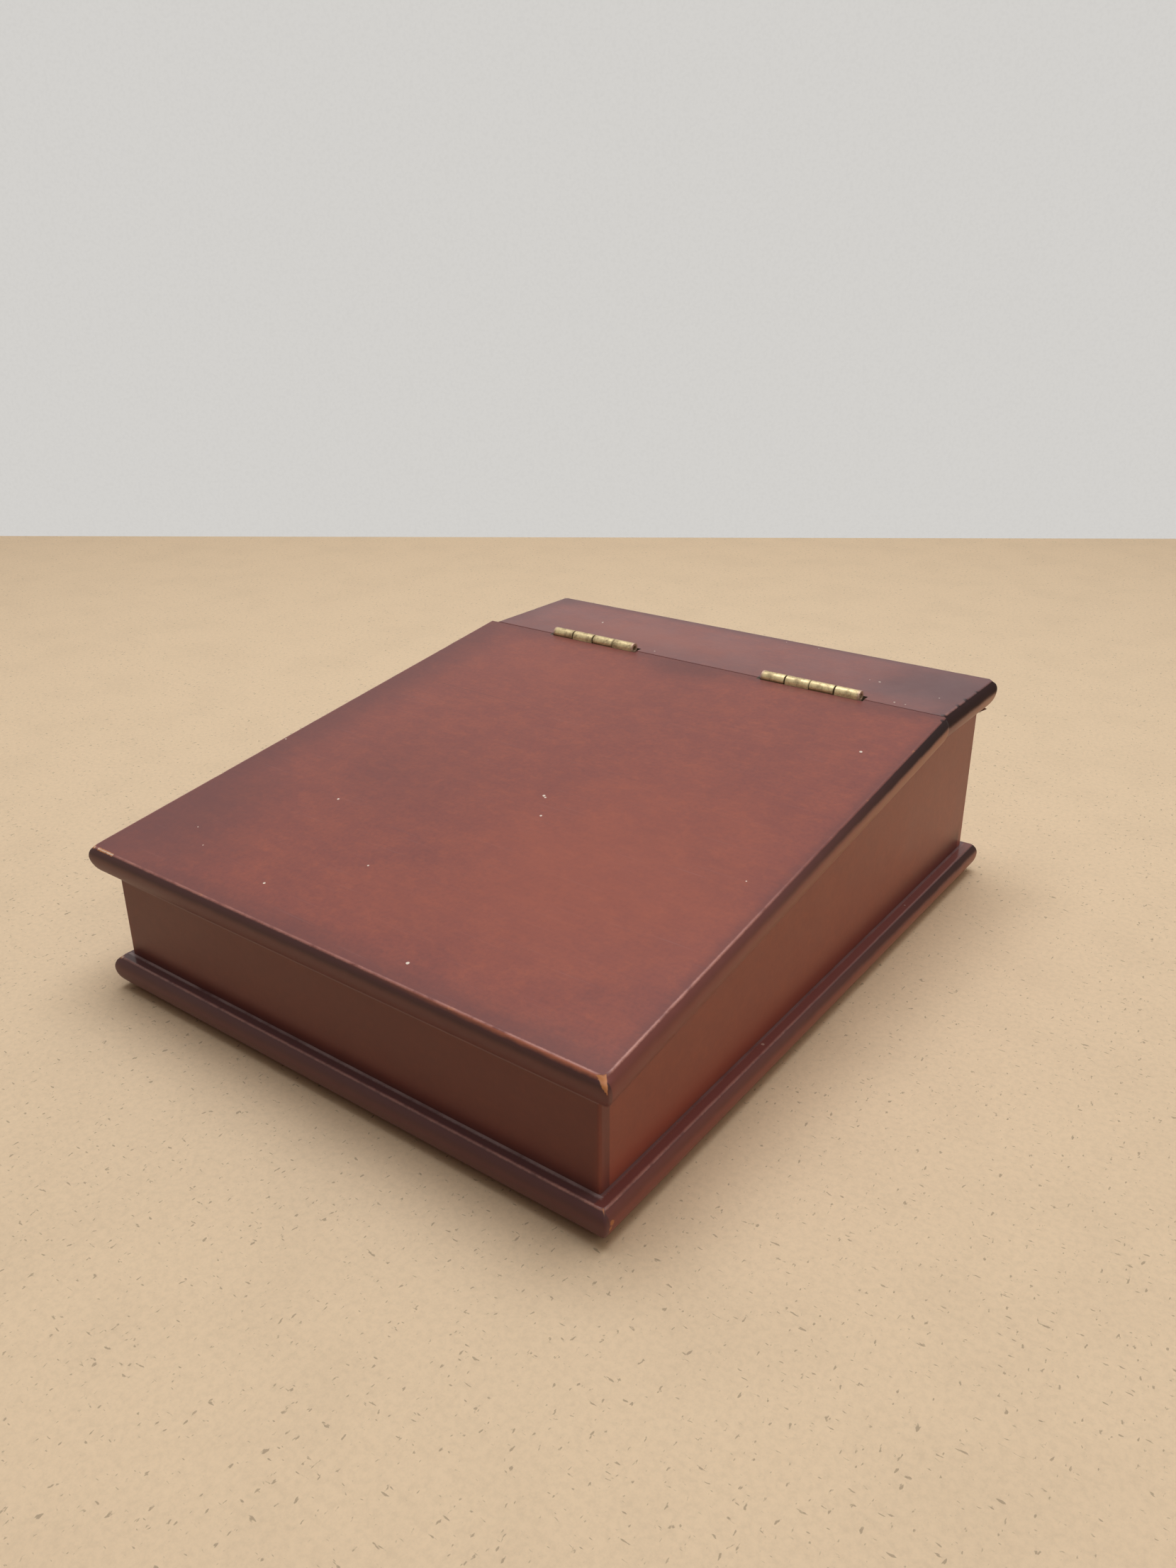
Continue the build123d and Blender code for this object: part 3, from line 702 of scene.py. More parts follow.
class BoardLacquer(Lacquer):
    """The finish of one board: smoked margins, edges with painted shade and painted reflections, rubbed
    arrises, chips and specks.
    """

    def __init__(self, name, colours, board, look, chips, dents=()):
        super().__init__(name, colours, look["grain"], look["seed"], board.matrix)
        self.look = look
        self.left, self.right, self.front, self.back, self.back_line, self.depth = (
            line * TO_MM for line in (
                board.left, board.right, board.front, board.back, board.back_line, board.thickness))
        self.down = -self.w
        self.upper = (self.w + 0.3).between(0.0, 0.2)
        self.to_back = self.v.between(self.front, self.back_line)
        self.past_front = self.front - self.v
        self.from_corner = diagonal(self.u - self.right, self.v - self.front)
        self.arris = self.from_arrises()
        self.smoke_face()
        self.darken_edges()
        underneath = self.down.between(self.depth - 0.12, self.depth - 0.04)
        self.tint(self.thin_stain(self.clouds), underneath * look["inside"])
        self.rub_arrises()
        self.bare_wood(chips)
        if dents:
            self.tint(colours.dents_and_dark_edge_reflection, self.spots(self.marks(dents), self.uneven(1.2)) * 0.85)
        self.add_specks()
        self.set_gloss()

    def marks(self, chips, share=1.0):
        """Chips as places and radii in millimetres."""
        return [(u * TO_MM, v * TO_MM, 0.0, radius * TO_MM * share) for u, v, radius, _ in chips]

    def from_arrises(self):
        """Distance to the nearest of the upper arrises that are rubbed."""
        beside = {"left": self.u - self.left, "right": self.u - self.right,
                  "front": self.v - self.front, "back": self.v - self.back}
        return least_of(diagonal(beside[side], self.w) for side in self.look["arrises"])

    def margins(self):
        """How far a place lies into the smoked margins, 0 in the middle and 1 at an edge."""
        # A margin of width wide has an inner line that wanders across wander
        wide, wander = 60.0, 34.0
        shift = (self.clouds - 0.5) * wander
        edges = {"left": self.u - self.left, "right": self.right - self.u,
                 "front": self.v - self.front, "back": self.back_line - self.v}
        return most_of(
            (1.0 - (edges[side] + shift * (width / wide)).between(0.0, width)) * strength
            for side, (width, strength) in self.look["margins"].items())

    def soft_patches(self, patches):
        """Rounded patches with soft, uneven edges."""
        shift = (self.clouds - 0.5) * 0.9
        covered = []
        for u, v, half_u, half_v, strength in patches:
            from_middle = self.vector("SUBTRACT", self.place, (u, v, 0.0))
            scaled = self.stretched(from_middle, (1.0 / half_u, 1.0 / half_v, 0.0))
            reach = self.distance(scaled, (0.0, 0.0, 0.0))
            covered.append((1.0 - (reach + shift).between(0.15, 1.05)) * strength)
        return most_of(covered)

    def smoke_face(self):
        """Warm and smoked parts of the upper face."""
        if self.look["glow"]:
            self.tint(self.colours.stain_warm, self.soft_patches(self.look["glow"]))
        self.smoke_and_shade = self.margins()
        if self.look["smoke_and_shade"]:
            self.smoke_and_shade = self.smoke_and_shade.most(self.soft_patches(self.look["smoke_and_shade"]))
        self.tint(self.colours.deep_stain_and_shade, self.smoke_and_shade)

    def darken_edges(self):
        """The rounded edge is a plain brown, deeper at the front as painted shade and tan low on its sides as
        a painted reflection of the floor, and its upper half is nearly black towards the back, a painted dark
        reflection.
        """
        look, colours = self.look, self.colours
        at_front = self.past_front.between(-0.2, 0.3)
        flank, front_flank = look["flank"]
        # Painted shade: the edge's stain is deeper at the front, which faces away from the light, than along
        # the sides
        plain = self.mix(colours.stain, colours.deep_stain_and_shade, at_front * (front_flank - flank) + flank)
        aside = (1.0 - at_front) * self.to_back
        # Painted reflection of the floor: the lower half of the side edges turns tan towards the back
        plain = self.mix(plain, colours.tan, aside * self.down.between(1.5, 7.0) * look["tan"])
        self.tint(plain, self.down.between(0.1, 0.9) * 0.85)
        # Painted dark reflection of the room: the upper half of the edge is nearly black, most of all towards
        # the back
        front_edge, near_edge, far_edge = look["edge"]
        sideways = (self.to_back * (far_edge - near_edge) + near_edge) * (1.0 - at_front)
        reached = self.down + (self.patchy - 0.5) * 1.2 - self.to_back.between(0.55, 1.0) * look["deepen"]
        band = self.down.between(0.1, 0.6) * (1.0 - reached.between(*look["band"]))
        self.band = band * (sideways + at_front * front_edge)
        self.tint(colours.dents_and_dark_edge_reflection, self.band)

    def rub_arrises(self):
        """Rubbed arrises, with a wider warm zone beside the near corner."""
        look, colours = self.look, self.colours
        close = 1.0 - self.from_corner.between(0.0, look["near"])
        line = (1.0 - (self.arris + self.uneven(0.5)).between(0.10, 0.85)) * self.patchy.between(0.26, 0.58)
        kept = self.u.between(self.right - 4.0, self.right - 1.0) * self.to_back.between(0.15, 0.60)
        self.tint(colours.worn, line * (close * 0.35 + look["wear"]) * (1.0 - kept * 0.85))
        below = 1.0 - (self.down + (self.patchy - 0.5) * 1.2).between(0.3, 1.5)
        self.tint(colours.rubbed, self.past_front.between(-0.1, 0.3) * below * close * look["zone"])

    def rubbed_corner(self):
        """The wedge of bare wood at the near corner: wide at the arris, narrow below, mostly in front."""
        width, depth = self.look["corner"]
        rough = self.uneven(1.0)
        side = (self.u - self.right) + (self.v - self.front)
        across = (-side).most(side * 3.0) + rough * width * 0.6
        here = (self.w / depth + 1.0).most(0.0) * width
        wedge = 1.0 - (across - here).between(-0.4, 0.3)
        limit = self.down.between(0.0, 0.5) * width + 0.9
        within = 1.0 - (self.from_corner - limit + rough).between(-0.4, 0.6)
        return wedge * within * (self.w + depth).between(0.0, 0.8)

    def bare_wood(self, chips):
        """Bare wood in the nicks and chips and at the near corner, palest in the middle of a chip."""
        colours = self.colours
        nicked = (1.0 - (self.arris + self.uneven(0.9)).between(0.25, 0.70)) * self.patchy.between(0.63, 0.68)
        self.bare = (nicked * self.look["nicks"]).most(self.rubbed_corner())
        pale = 0.0
        if chips:
            along_arris = 1.0 - (self.arris + self.uneven(0.8)).between(0.45, 0.95)
            chipped = self.spots(self.marks(chips, 1.3), self.uneven(0.8)) * along_arris
            self.bare = self.bare.most(chipped)
            pale = chipped * (1.0 - self.arris.between(0.15, 0.5))
        wood = self.mix(colours.bare, colours.worn, self.fibres.between(0.35, 0.65) * 0.4)
        self.tint(self.mix(wood, colours.paint, pale), self.bare)

    def add_specks(self):
        """Specks of paint, and a few dots of dust."""
        marks = [(u, v, 0.0, radius) for u, v, radius in self.look["specks"]]
        self.tint(self.colours.paint, self.spots(marks, self.uneven(0.6)))
        dots = (1.0 - self.cells(self.place, 14.0).between(0.010, 0.016)) * self.patchy.between(0.5, 0.6)
        self.tint(self.colours.dust, dots * 0.5)

    def set_gloss(self):
        """The face is rubbed unevenly, and the bare wood, the underside and the dark band are dull."""
        dull_edge = self.down.between(0.1, 0.6) * self.look["dull_edge"]
        gloss = self.look["gloss"] + self.rubbing * 0.10 + self.mottle * 0.04 + self.smoke_and_shade * 0.03 + dull_edge
        below = self.down.between(self.depth * 0.55, self.depth * 0.80)
        self.gloss = gloss.most(self.bare * 0.55).most(below * 0.42).most(self.band * 0.9)

    def shade_recesses(self):
        """Painted shade: the hinges' recesses are nearly black."""
        x, y, z = self.point().axes()
        from_axis = diagonal(y - HINGE.y * TO_MM, z - HINGE.z * TO_MM)
        beside = []
        for side in SIDES:
            low, high = (corner.x * TO_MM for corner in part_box(f"hinge_{side}_ledge_leaf"))
            beside.append(abs(x - (low + high) / 2.0) - (high - low) / 2.0)
        round_the_barrel, past_its_ends = (2.98, 3.15), (2.0, 2.2)
        recess = 1.0 - from_axis.between(*round_the_barrel)
        recess = recess * (1.0 - least_of(beside).between(*past_its_ends))
        self.tint(self.colours.grime_and_shade, recess * 0.95)


def lid_finish(colours, board, chips, dents):
    """The lid, with dust and painted light under its rim, fine scratches and a pressed line."""
    f = BoardLacquer("lid_lacquer", colours, board, LID_LOOK, chips, dents)
    f.shade_recesses()
    # Dust under the rim, where the lid meets the walls, and painted light there: paler so that the shaded gap
    # shows no dark line
    from_edge = (f.u - f.left).least(f.right - f.u).least(f.v - f.front)
    rim = (1.0 - from_edge.between(8.0, 10.0)) * f.down.between(f.depth - 1.5, f.depth - 0.1)
    f.tint(colours.dust, rim * 0.12)
    # Long faint scratches, and a pressed line across the left part
    scratches = f.cloud(f.stretched(f.place, (0.02, 0.9, 1.0)), 0.8, detail=3)
    f.tint(colours.dust, scratches.between(0.60, 0.80) * f.upper * 0.10)
    line_v, line_middle, line_lean, line_half = -72.0, -60.0, 0.008, 0.35
    line_left, line_right = -107.0, -30.0
    pressed = 1.0 - abs(f.v - line_v + (f.u - line_middle) * line_lean).between(0.0, line_half)
    pressed = pressed * (f.u - line_left).between(0.0, 10.0) * (line_right - f.u).between(0.0, 30.0)
    f.tint(colours.deep_stain_and_shade, pressed * 0.6)
    return f.coated(ior=1.42)


def ledge_finish(colours, board, chips):
    """The ledge, greyed by a lilac grey film of dust and handling."""
    f = BoardLacquer("ledge_lacquer", colours, board, LEDGE_LOOK, (), chips)
    f.shade_recesses()
    # Grease and dust have greyed its face
    hazy = f.cloud(f.place, 20.0, detail=3).between(0.35, 0.65)
    f.tint(colours.haze_and_fill_light, f.upper * (hazy * 0.08 + 0.20))
    return f.coated(ior=1.32)


def base_finish(colours, board, chips, wall_thickness):
    """The base board, with dust and old polish around the walls, a thin stain in the well and painted light
    low on its front edge.
    """
    f = BoardLacquer("base_lacquer", colours, board, BASE_LOOK, chips)
    # A film of dust on its face, and dust and painted light low on its front edge, which stands in shade
    f.tint(colours.haze_and_fill_light, f.upper * 0.20)
    f.tint(colours.haze_and_fill_light, f.past_front.between(-0.2, 0.3) * f.down.between(2.0, 8.0) * 0.14)
    # Old polish and dust along the foot of the walls
    low, high = walls_box()
    outside = (low.x - f.u).most(f.u - high.x).most((low.y - f.v).most(f.v - high.y))
    grit = f.cloud(f.place, 0.8, detail=5, roughness=0.75)
    smear = f.cloud(f.stretched(f.place, (0.3, 0.3, 1.0)), 4.0, detail=4)
    in_front = (low.y - f.v).between(-0.1, 0.1)
    f.tint(colours.stain, f.upper * (f.u - high.x).between(0.3, 1.2) * 0.55)
    beside = f.upper * outside.between(-0.3, 0.0) * (1.0 - (outside + (grit - 0.5) * 1.2).between(0.7, 1.9))
    f.tint(colours.dust, beside * smear.between(0.20, 0.60) * (in_front * 0.75 + 0.15))
    flecks = f.upper * grit.between(0.58, 0.68) * (1.0 - outside.between(1.0, 4.0)) * (1.0 - in_front * 0.7)
    f.tint(colours.rubbed, flecks * 0.8)
    # In the well the stain is thin
    well = f.upper * (-outside).between(wall_thickness - 0.3, wall_thickness - 0.1)
    f.tint(f.thin_stain(f.mottle), well)
    # A bare bruise below the near corner
    marks = [(f.right + 2.1, f.front + 1.2, -4.6, 1.2), (f.right + 2.0, f.front + 0.4, -6.4, 0.9)]
    bruise = f.spots(marks, (grit - 0.5) * 1.2)
    f.tint(colours.bare, bruise * 0.6)
    f.gloss = f.gloss.most(beside * 0.45).most(bruise * 0.55).most(well * 0.5)
    return f.coated(ior=1.42)


# Grain, seed, painted redder band above the base where the wall reflects the dark base, painted shade
# (darkest on the front wall, which faces away from the light), glow along the corners and height of the
# painted dark foot of each wall
WALL_LOOKS = {
    "front_wall": ("u", 7.0, 0.0, 0.62, 0.12, 8.0),
    "back_wall": ("u", 19.0, 0.1, 0.20, 0.30, 8.0),
    "left_wall": ("v", 29.0, 0.2, 0.20, 0.12, 14.0),
    "right_wall": ("v", 37.0, 0.50, 0.06, 0.0, 16.0),
}


def wall_finish(name, colours, lid, thickness):
    """A plain wall: lacquered outside, thinly stained towards the well, rubbed along its upright corners,
    with painted shade that is deepest on the front wall and painted light and shade along its foot.
    """
    grain, seed, foot_reflection_red, smoke_and_shade, strip_glow, foot_shade_top = WALL_LOOKS[name]
    f = Lacquer(f"{name}_lacquer", colours, grain, seed)
    x, y, z = f.u, f.v, f.w
    low, high = walls_box()
    height = z - low.z
    f.tint(colours.stain_warm, 0.35)
    # Painted shade: each wall is deepened by its own share, most of all the front wall, which faces away from
    # the light
    f.tint(colours.deep_stain_and_shade, smoke_and_shade)

    # Painted light and shade at the foot: redder towards the base, where the wall reflects the dark base
    # rather than the floor, and painted shade just above it, most of all far from the near corner, with a
    # little dust and painted light near that corner
    f.tint(colours.corner_stain_and_painted_foot_red, (1.0 - (height + (f.patches - 0.5) * 8.0).between(2.0, 16.0)) * foot_reflection_red)
    run = (high.x - x) / (high.x - low.x) if grain == "u" else (y - low.y) / (high.y - low.y)
    foot = 1.0 - (height + (f.patchy - 0.5) * 1.5).between(foot_shade_top * 0.25, foot_shade_top)
    f.tint(colours.foot_shade, foot * (run * 0.72 + 0.18))
    f.tint(colours.dust, foot * (1.0 - run) * 0.05)

    # Upright corners: a redder strip that narrows upwards, and a rubbed line along each
    nearest = least_of(diagonal(x - corner_x, y - corner_y)
                       for corner_x in (low.x, high.x) for corner_y in (low.y, high.y))
    wall_rise, narrower = 36.0, 3.0
    strip = 1.0 - (nearest + (f.patchy - 0.5) * 1.2 + height / wall_rise * narrower).between(1.5, 4.4)
    f.tint(colours.corner_stain_and_painted_foot_red, strip * strip_glow)
    line = (1.0 - (nearest + f.uneven(0.5)).between(0.35, 1.0)) * f.patchy.between(0.25, 0.55)
    f.tint(colours.rubbed, line * 0.12)

    # The well's side of the wall
    inner = (x - (low.x + thickness)).least((high.x - thickness) - x)
    inner = inner.least((y - (low.y + thickness)).least((high.y - thickness) - y))
    inside = inner.between(-0.25, -0.1)
    f.tint(f.thin_stain(f.clouds), inside)

    # Dust along the outer edge of its top, where the lid rests, and painted light there: paler so that the
    # shaded gap under the lid shows no dark line
    under_lid = f.point(lid.matrix).axes()[2] + lid.thickness * TO_MM
    outer = (-inner).between(thickness - 1.6, thickness - 0.8)
    f.tint(colours.dust, under_lid.between(-1.4, -0.5) * outer * 0.5)

    f.gloss = (0.28 + f.rubbing * 0.08 + f.mottle * 0.04).most(inside * 0.5)
    return f.coated(ior=1.36)


# Metal, dowels and baize

def brass_finish(name, colours, box, seed):
    """Aged brass: rubbed bright in places, brown and spotted elsewhere, with lacquer splashed on its ends and
    painted shade at the joints between its knuckles.
    """
    f = Finish(name)
    here = f.point()
    x = here.axes()[0]
    point = f.vector("ADD", here, (seed, 0.0, 0.0))
    patches = f.cloud(point, 6.0, detail=5, roughness=0.68)
    mottle = f.cloud(point, 1.2, detail=4, roughness=0.7)
    pits = 1.0 - f.cells(point, 1.5).between(0.10, 0.22)
    along = f.cloud(f.stretched(point, (0.12, 1.0, 1.0)), 0.5, detail=3)
    tarnish = (patches.between(0.45, 0.64) * 0.65 + mottle.between(0.48, 0.70) * 0.40).least(1.0)
    f.colour = f.mix(colours.brass, colours.patina, tarnish)
    f.tint(colours.splash, mottle.between(0.56, 0.72) * patches.between(0.38, 0.55) * 0.55)
    low, high = (corner.x * TO_MM for corner in box)
    ends = 1.0 - ((x - low).least(high - x) + (mottle - 0.5) * 2.4).between(0.3, 1.5)
    f.tint(colours.splash, ends * 0.8)
    f.tint(colours.grime_and_shade, pits * patches.between(0.50, 0.62) * 0.8)
    knuckle = (high - low) / 4.0
    joint = least_of(abs(x - (low + knuckle * index)) for index in (1, 2, 3))
    # Painted shade in the gaps between the knuckles
    f.tint(colours.grime_and_shade, (1.0 - joint.between(0.30, 0.70)) * 0.4)
    return f.surface({
        "Roughness": 0.40 + tarnish * 0.15 + along * 0.10, "Metallic": 0.78 - tarnish * 0.35 - ends * 0.3,
        "Normal": f.bump(along * 0.5 + mottle * 0.5, 0.03 * MM),
    })


def metal_finish(name, colour, stain):
    """Screw and pin metal, brushed and stained."""
    f = Finish(name)
    point = f.point()
    stained = f.cloud(point, 2.5, detail=5, roughness=0.7).between(0.45, 0.7)
    scratches = f.cloud(f.stretched(point, (1.0, 0.15, 1.0)), 0.4, detail=3)
    f.colour = f.mix(colour, stain, stained * 0.7)
    return f.surface({
        "Roughness": 0.35 + stained * 0.25 + scratches * 0.12, "Metallic": 1.0 - stained * 0.5,
        "Normal": f.bump(scratches, 0.01 * MM),
    })


def dowel_finish(colours):
    """Bare beech with short dark flecks along the dowel."""
    f = Finish("beech_dowel")
    point = f.point()
    grain = f.cloud(f.stretched(point, (1.0, 1.0, 0.08)), 0.8, detail=4)
    flecks = f.cloud(f.stretched(point, (1.0, 1.0, 0.25)), 0.35, detail=2)
    f.colour = f.mix(colours.dowel, colours.bare, grain.between(0.4, 0.7) * 0.5)
    f.tint(colours.rust, flecks.between(0.62, 0.72) * 0.5)
    return f.surface({"Roughness": 0.6 + grain * 0.2, "Normal": f.bump(grain, 0.05 * MM)})


def baize_finish(colours):
    """Felted wool: tangled fibres, slightly paler on their tips."""
    f = Finish("baize_felt")
    point = f.point()
    tangle = f.cloud(point, 0.5, detail=6, roughness=0.75, distortion=2.0)
    fibres = f.cloud(f.stretched(point, (1.0, 0.3, 1.0)), 0.25, detail=3, distortion=1.0)
    patches = f.cloud(point, 30.0, detail=3)
    f.colour = f.mix(colours.baize, colours.wool_tips, tangle.between(0.45, 0.75) * 0.7)
    f.tint(colours.wool_hollows, patches.between(0.45, 0.7) * 0.5)
    return f.surface({
        "Roughness": 0.95, "Sheen Weight": 0.35, "Sheen Roughness": 0.5,
        "Normal": f.bump(tangle * 0.6 + fibres * 0.4, 0.15 * MM),
    })


# Operators, one for each piece or group of like pieces

class Piece:
    """What the operators share: the panel's sizes and colours."""
    bl_options = {"REGISTER", "UNDO"}

    @property
    def sizes(self):
        return bpy.context.scene.lap_desk_sizes

    @property
    def colours(self):
        return bpy.context.scene.lap_desk_colours


class LAPDESK_OT_base_board(Piece, bpy.types.Operator):
    """Base board with rounded edges that stands out past the walls on all four sides"""
    bl_idname = "lapdesk.base_board"
    bl_label = "Base board"

    def execute(self, context):
        sizes = self.sizes
        board = base_of(sizes)
        near_corner = chip(board.right, board.front, 2.0, 0.4)
        chips = [chip(board.left, board.front, 1.6, 0.3)]
        bm = worn_board(sizes, board, chips + [near_corner], seed=5.0)
        made = object_from(bm, "base_board_lacquered")
        look = base_finish(self.colours, board, chips, sizes.wall_thickness * TO_MM)
        place(made, look, "case", "lacquered_wood", "base_board")
        return {"FINISHED"}


class LAPDESK_OT_rear_ledge(Piece, bpy.types.Operator):
    """Fixed rear ledge, rounded at the back and both ends, with the hinges let into its front edge"""
    bl_idname = "lapdesk.rear_ledge"
    bl_label = "Rear ledge"

    def execute(self, context):
        sizes = self.sizes
        board = ledge_of(sizes)
        chips = [
            chip(board.right, board.front + back * MM, radius, depth) for back, radius, depth in (
                (1.0, 1.8, 0.5), (16.7, 1.5, 0.35), (25.9, 1.7, 0.4), (39.0, 1.3, 0.3))
        ]
        chips.append(chip(board.right, board.back, 1.6, 0.4))
        chips.append(chip(board.left, board.front + 30.0 * MM, 1.2, 0.3))
        bm = worn_board(sizes, board, chips, seed=11.0, mitre_share=2.0)
        made = object_from(bm, "rear_ledge_lacquered")
        cut_recesses(made, sizes, board.front)
        place(made, ledge_finish(self.colours, board, chips), "case", "lacquered_wood", "rear_ledge")
        return {"FINISHED"}


class LAPDESK_OT_writing_lid(Piece, bpy.types.Operator):
    """Sloping writing lid, rounded on three edges and cut upright at the seam"""
    bl_idname = "lapdesk.writing_lid"
    bl_label = "Writing lid"

    def execute(self, context):
        sizes = self.sizes
        board = lid_of(sizes)
        near_corner = chip(board.right, board.front, 2.6, 0.75)
        chips = [
            chip(board.left + along * MM, board.front, radius, depth) for along, radius, depth in (
                (0.0, 1.4, 0.35), (4.6, 1.1, 0.3), (7.2, 1.5, 0.35), (10.3, 1.3, 0.3), (12.7, 0.8, 0.2))
        ]
        dents = [chip(board.right, -3.1 * MM, 1.1, 0.35)]
        bm = worn_board(sizes, board, chips + dents + [near_corner], seed=23.0)
        seam = board.matrix.translation
        cut = bmesh.ops.bisect_plane(bm, geom=bm.verts[:] + bm.edges[:] + bm.faces[:], plane_co=seam,
                                     plane_no=(0, 1, 0), clear_outer=True)
        rim = [g for g in cut["geom_cut"] if isinstance(g, bmesh.types.BMEdge)]
        bmesh.ops.edgeloop_fill(bm, edges=rim)
        bmesh.ops.recalc_face_normals(bm, faces=bm.faces)
        made = object_from(bm, "writing_lid_lacquered")
        cut_recesses(made, sizes, seam.y)
        place(made, lid_finish(self.colours, board, chips, dents), "lid", "lacquered_wood", "writing_lid")
        return {"FINISHED"}


class LAPDESK_OT_walls(Piece, bpy.types.Operator):
    """Front, back, left and right walls, with sloping tops and eased edges"""
    bl_idname = "lapdesk.walls"
    bl_label = "Walls"

    def execute(self, context):
        lid = lid_of(self.sizes)
        for name in WALL_LOOKS:
            dress(name, wall_finish(name, self.colours, lid, self.sizes.wall_thickness * TO_MM))
        return {"FINISHED"}


class LAPDESK_OT_hinge_leaves(Piece, bpy.types.Operator):
    """The four hinge leaves: rolled knuckles on a countersunk plate"""
    bl_idname = "lapdesk.hinge_leaves"
    bl_label = "Hinge leaves"

    def execute(self, context):
        for index, side in enumerate(SIDES):
            for board, body in (("ledge", "case"), ("lid", "lid")):
                name = f"hinge_{side}_{board}_leaf"
                seed = 40.0 * index + 7.0 * len(board)
                made = eased_copy(name, f"{name}_brass", self.sizes.brass_easing)
                look = brass_finish(f"{name}_brass", self.colours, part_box(name), seed)
                place(made, look, body, "aged_brass", name)
        return {"FINISHED"}


class LAPDESK_OT_hinge_fixings(Piece, bpy.types.Operator):
    """Hinge pins and leaf screws"""
    bl_idname = "lapdesk.hinge_fixings"
    bl_label = "Hinge pins and screws"

    def execute(self, context):
        pin = metal_finish("pin_steel_dark", self.colours.pin, self.colours.rust)
        screw = metal_finish("screw_brass_dull", self.colours.brass, self.colours.patina)
        for side in SIDES:
            dress(f"hinge_{side}_pin", pin)
            for board in ("ledge", "lid"):
                dress(f"hinge_{side}_{board}_screws", screw)
        return {"FINISHED"}


class LAPDESK_OT_case_fixings(Piece, bpy.types.Operator):
    """Base screws, ledge dowels and corner brads"""
    bl_idname = "lapdesk.case_fixings"
    bl_label = "Case fixings"

    def execute(self, context):
        steel = metal_finish("fixing_steel_zinc", self.colours.steel, self.colours.rust)
        dress("base_screws", steel)
        dress("corner_brads", steel)
        dress("ledge_dowels", dowel_finish(self.colours))
        return {"FINISHED"}


class LAPDESK_OT_underside_baize(Piece, bpy.types.Operator):
    """Green baize glued to the underside"""
    bl_idname = "lapdesk.underside_baize"
    bl_label = "Underside baize"

    def execute(self, context):
        corner, pile, fray, fray_size, long_edge = 4.0 * MM, 0.3 * MM, 0.25 * MM, 2.5 * MM, 20 * MM
        low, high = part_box("underside_baize")
        bm = block(low, high)
        ease(bm, [e for e in bm.edges if abs(e.verts[0].co.z - e.verts[1].co.z) > pile], corner, segments=8)
        ease(bm, [e for e in bm.edges if all(v.co.z < low.z + pile for v in e.verts)], pile)
        sides = [e for e in bm.edges if e.calc_length() > long_edge]
        bmesh.ops.subdivide_edges(bm, edges=sides, cuts=90, use_grid_fill=True)
        middle = (low + high) / 2
        for vertex in bm.verts:
            inward = (middle - vertex.co) * Vector((1, 1, 0))
            vertex.co += inward.normalized() * fray * (0.5 + 0.5 * noise.noise(vertex.co / fray_size))
        made = object_from(bm, "underside_baize_felt")
        place(made, baize_finish(self.colours), "case", "baize", "underside_baize")
        return {"FINISHED"}


def seen_by(f):
    """1 for what the camera sees straight on, or in gloss or through glass, and 0 for light on a surface."""
    path = f.node("ShaderNodeLightPath", {}, {}).socket.node
    rays = ("Is Camera Ray", "Is Glossy Ray", "Is Transmission Ray")
    return most_of(Link(f, path.outputs[ray]) for ray in rays)


def darker(colour, share):
    """A colour with its channels multiplied by a share."""
    return [channel * share for channel in colour]


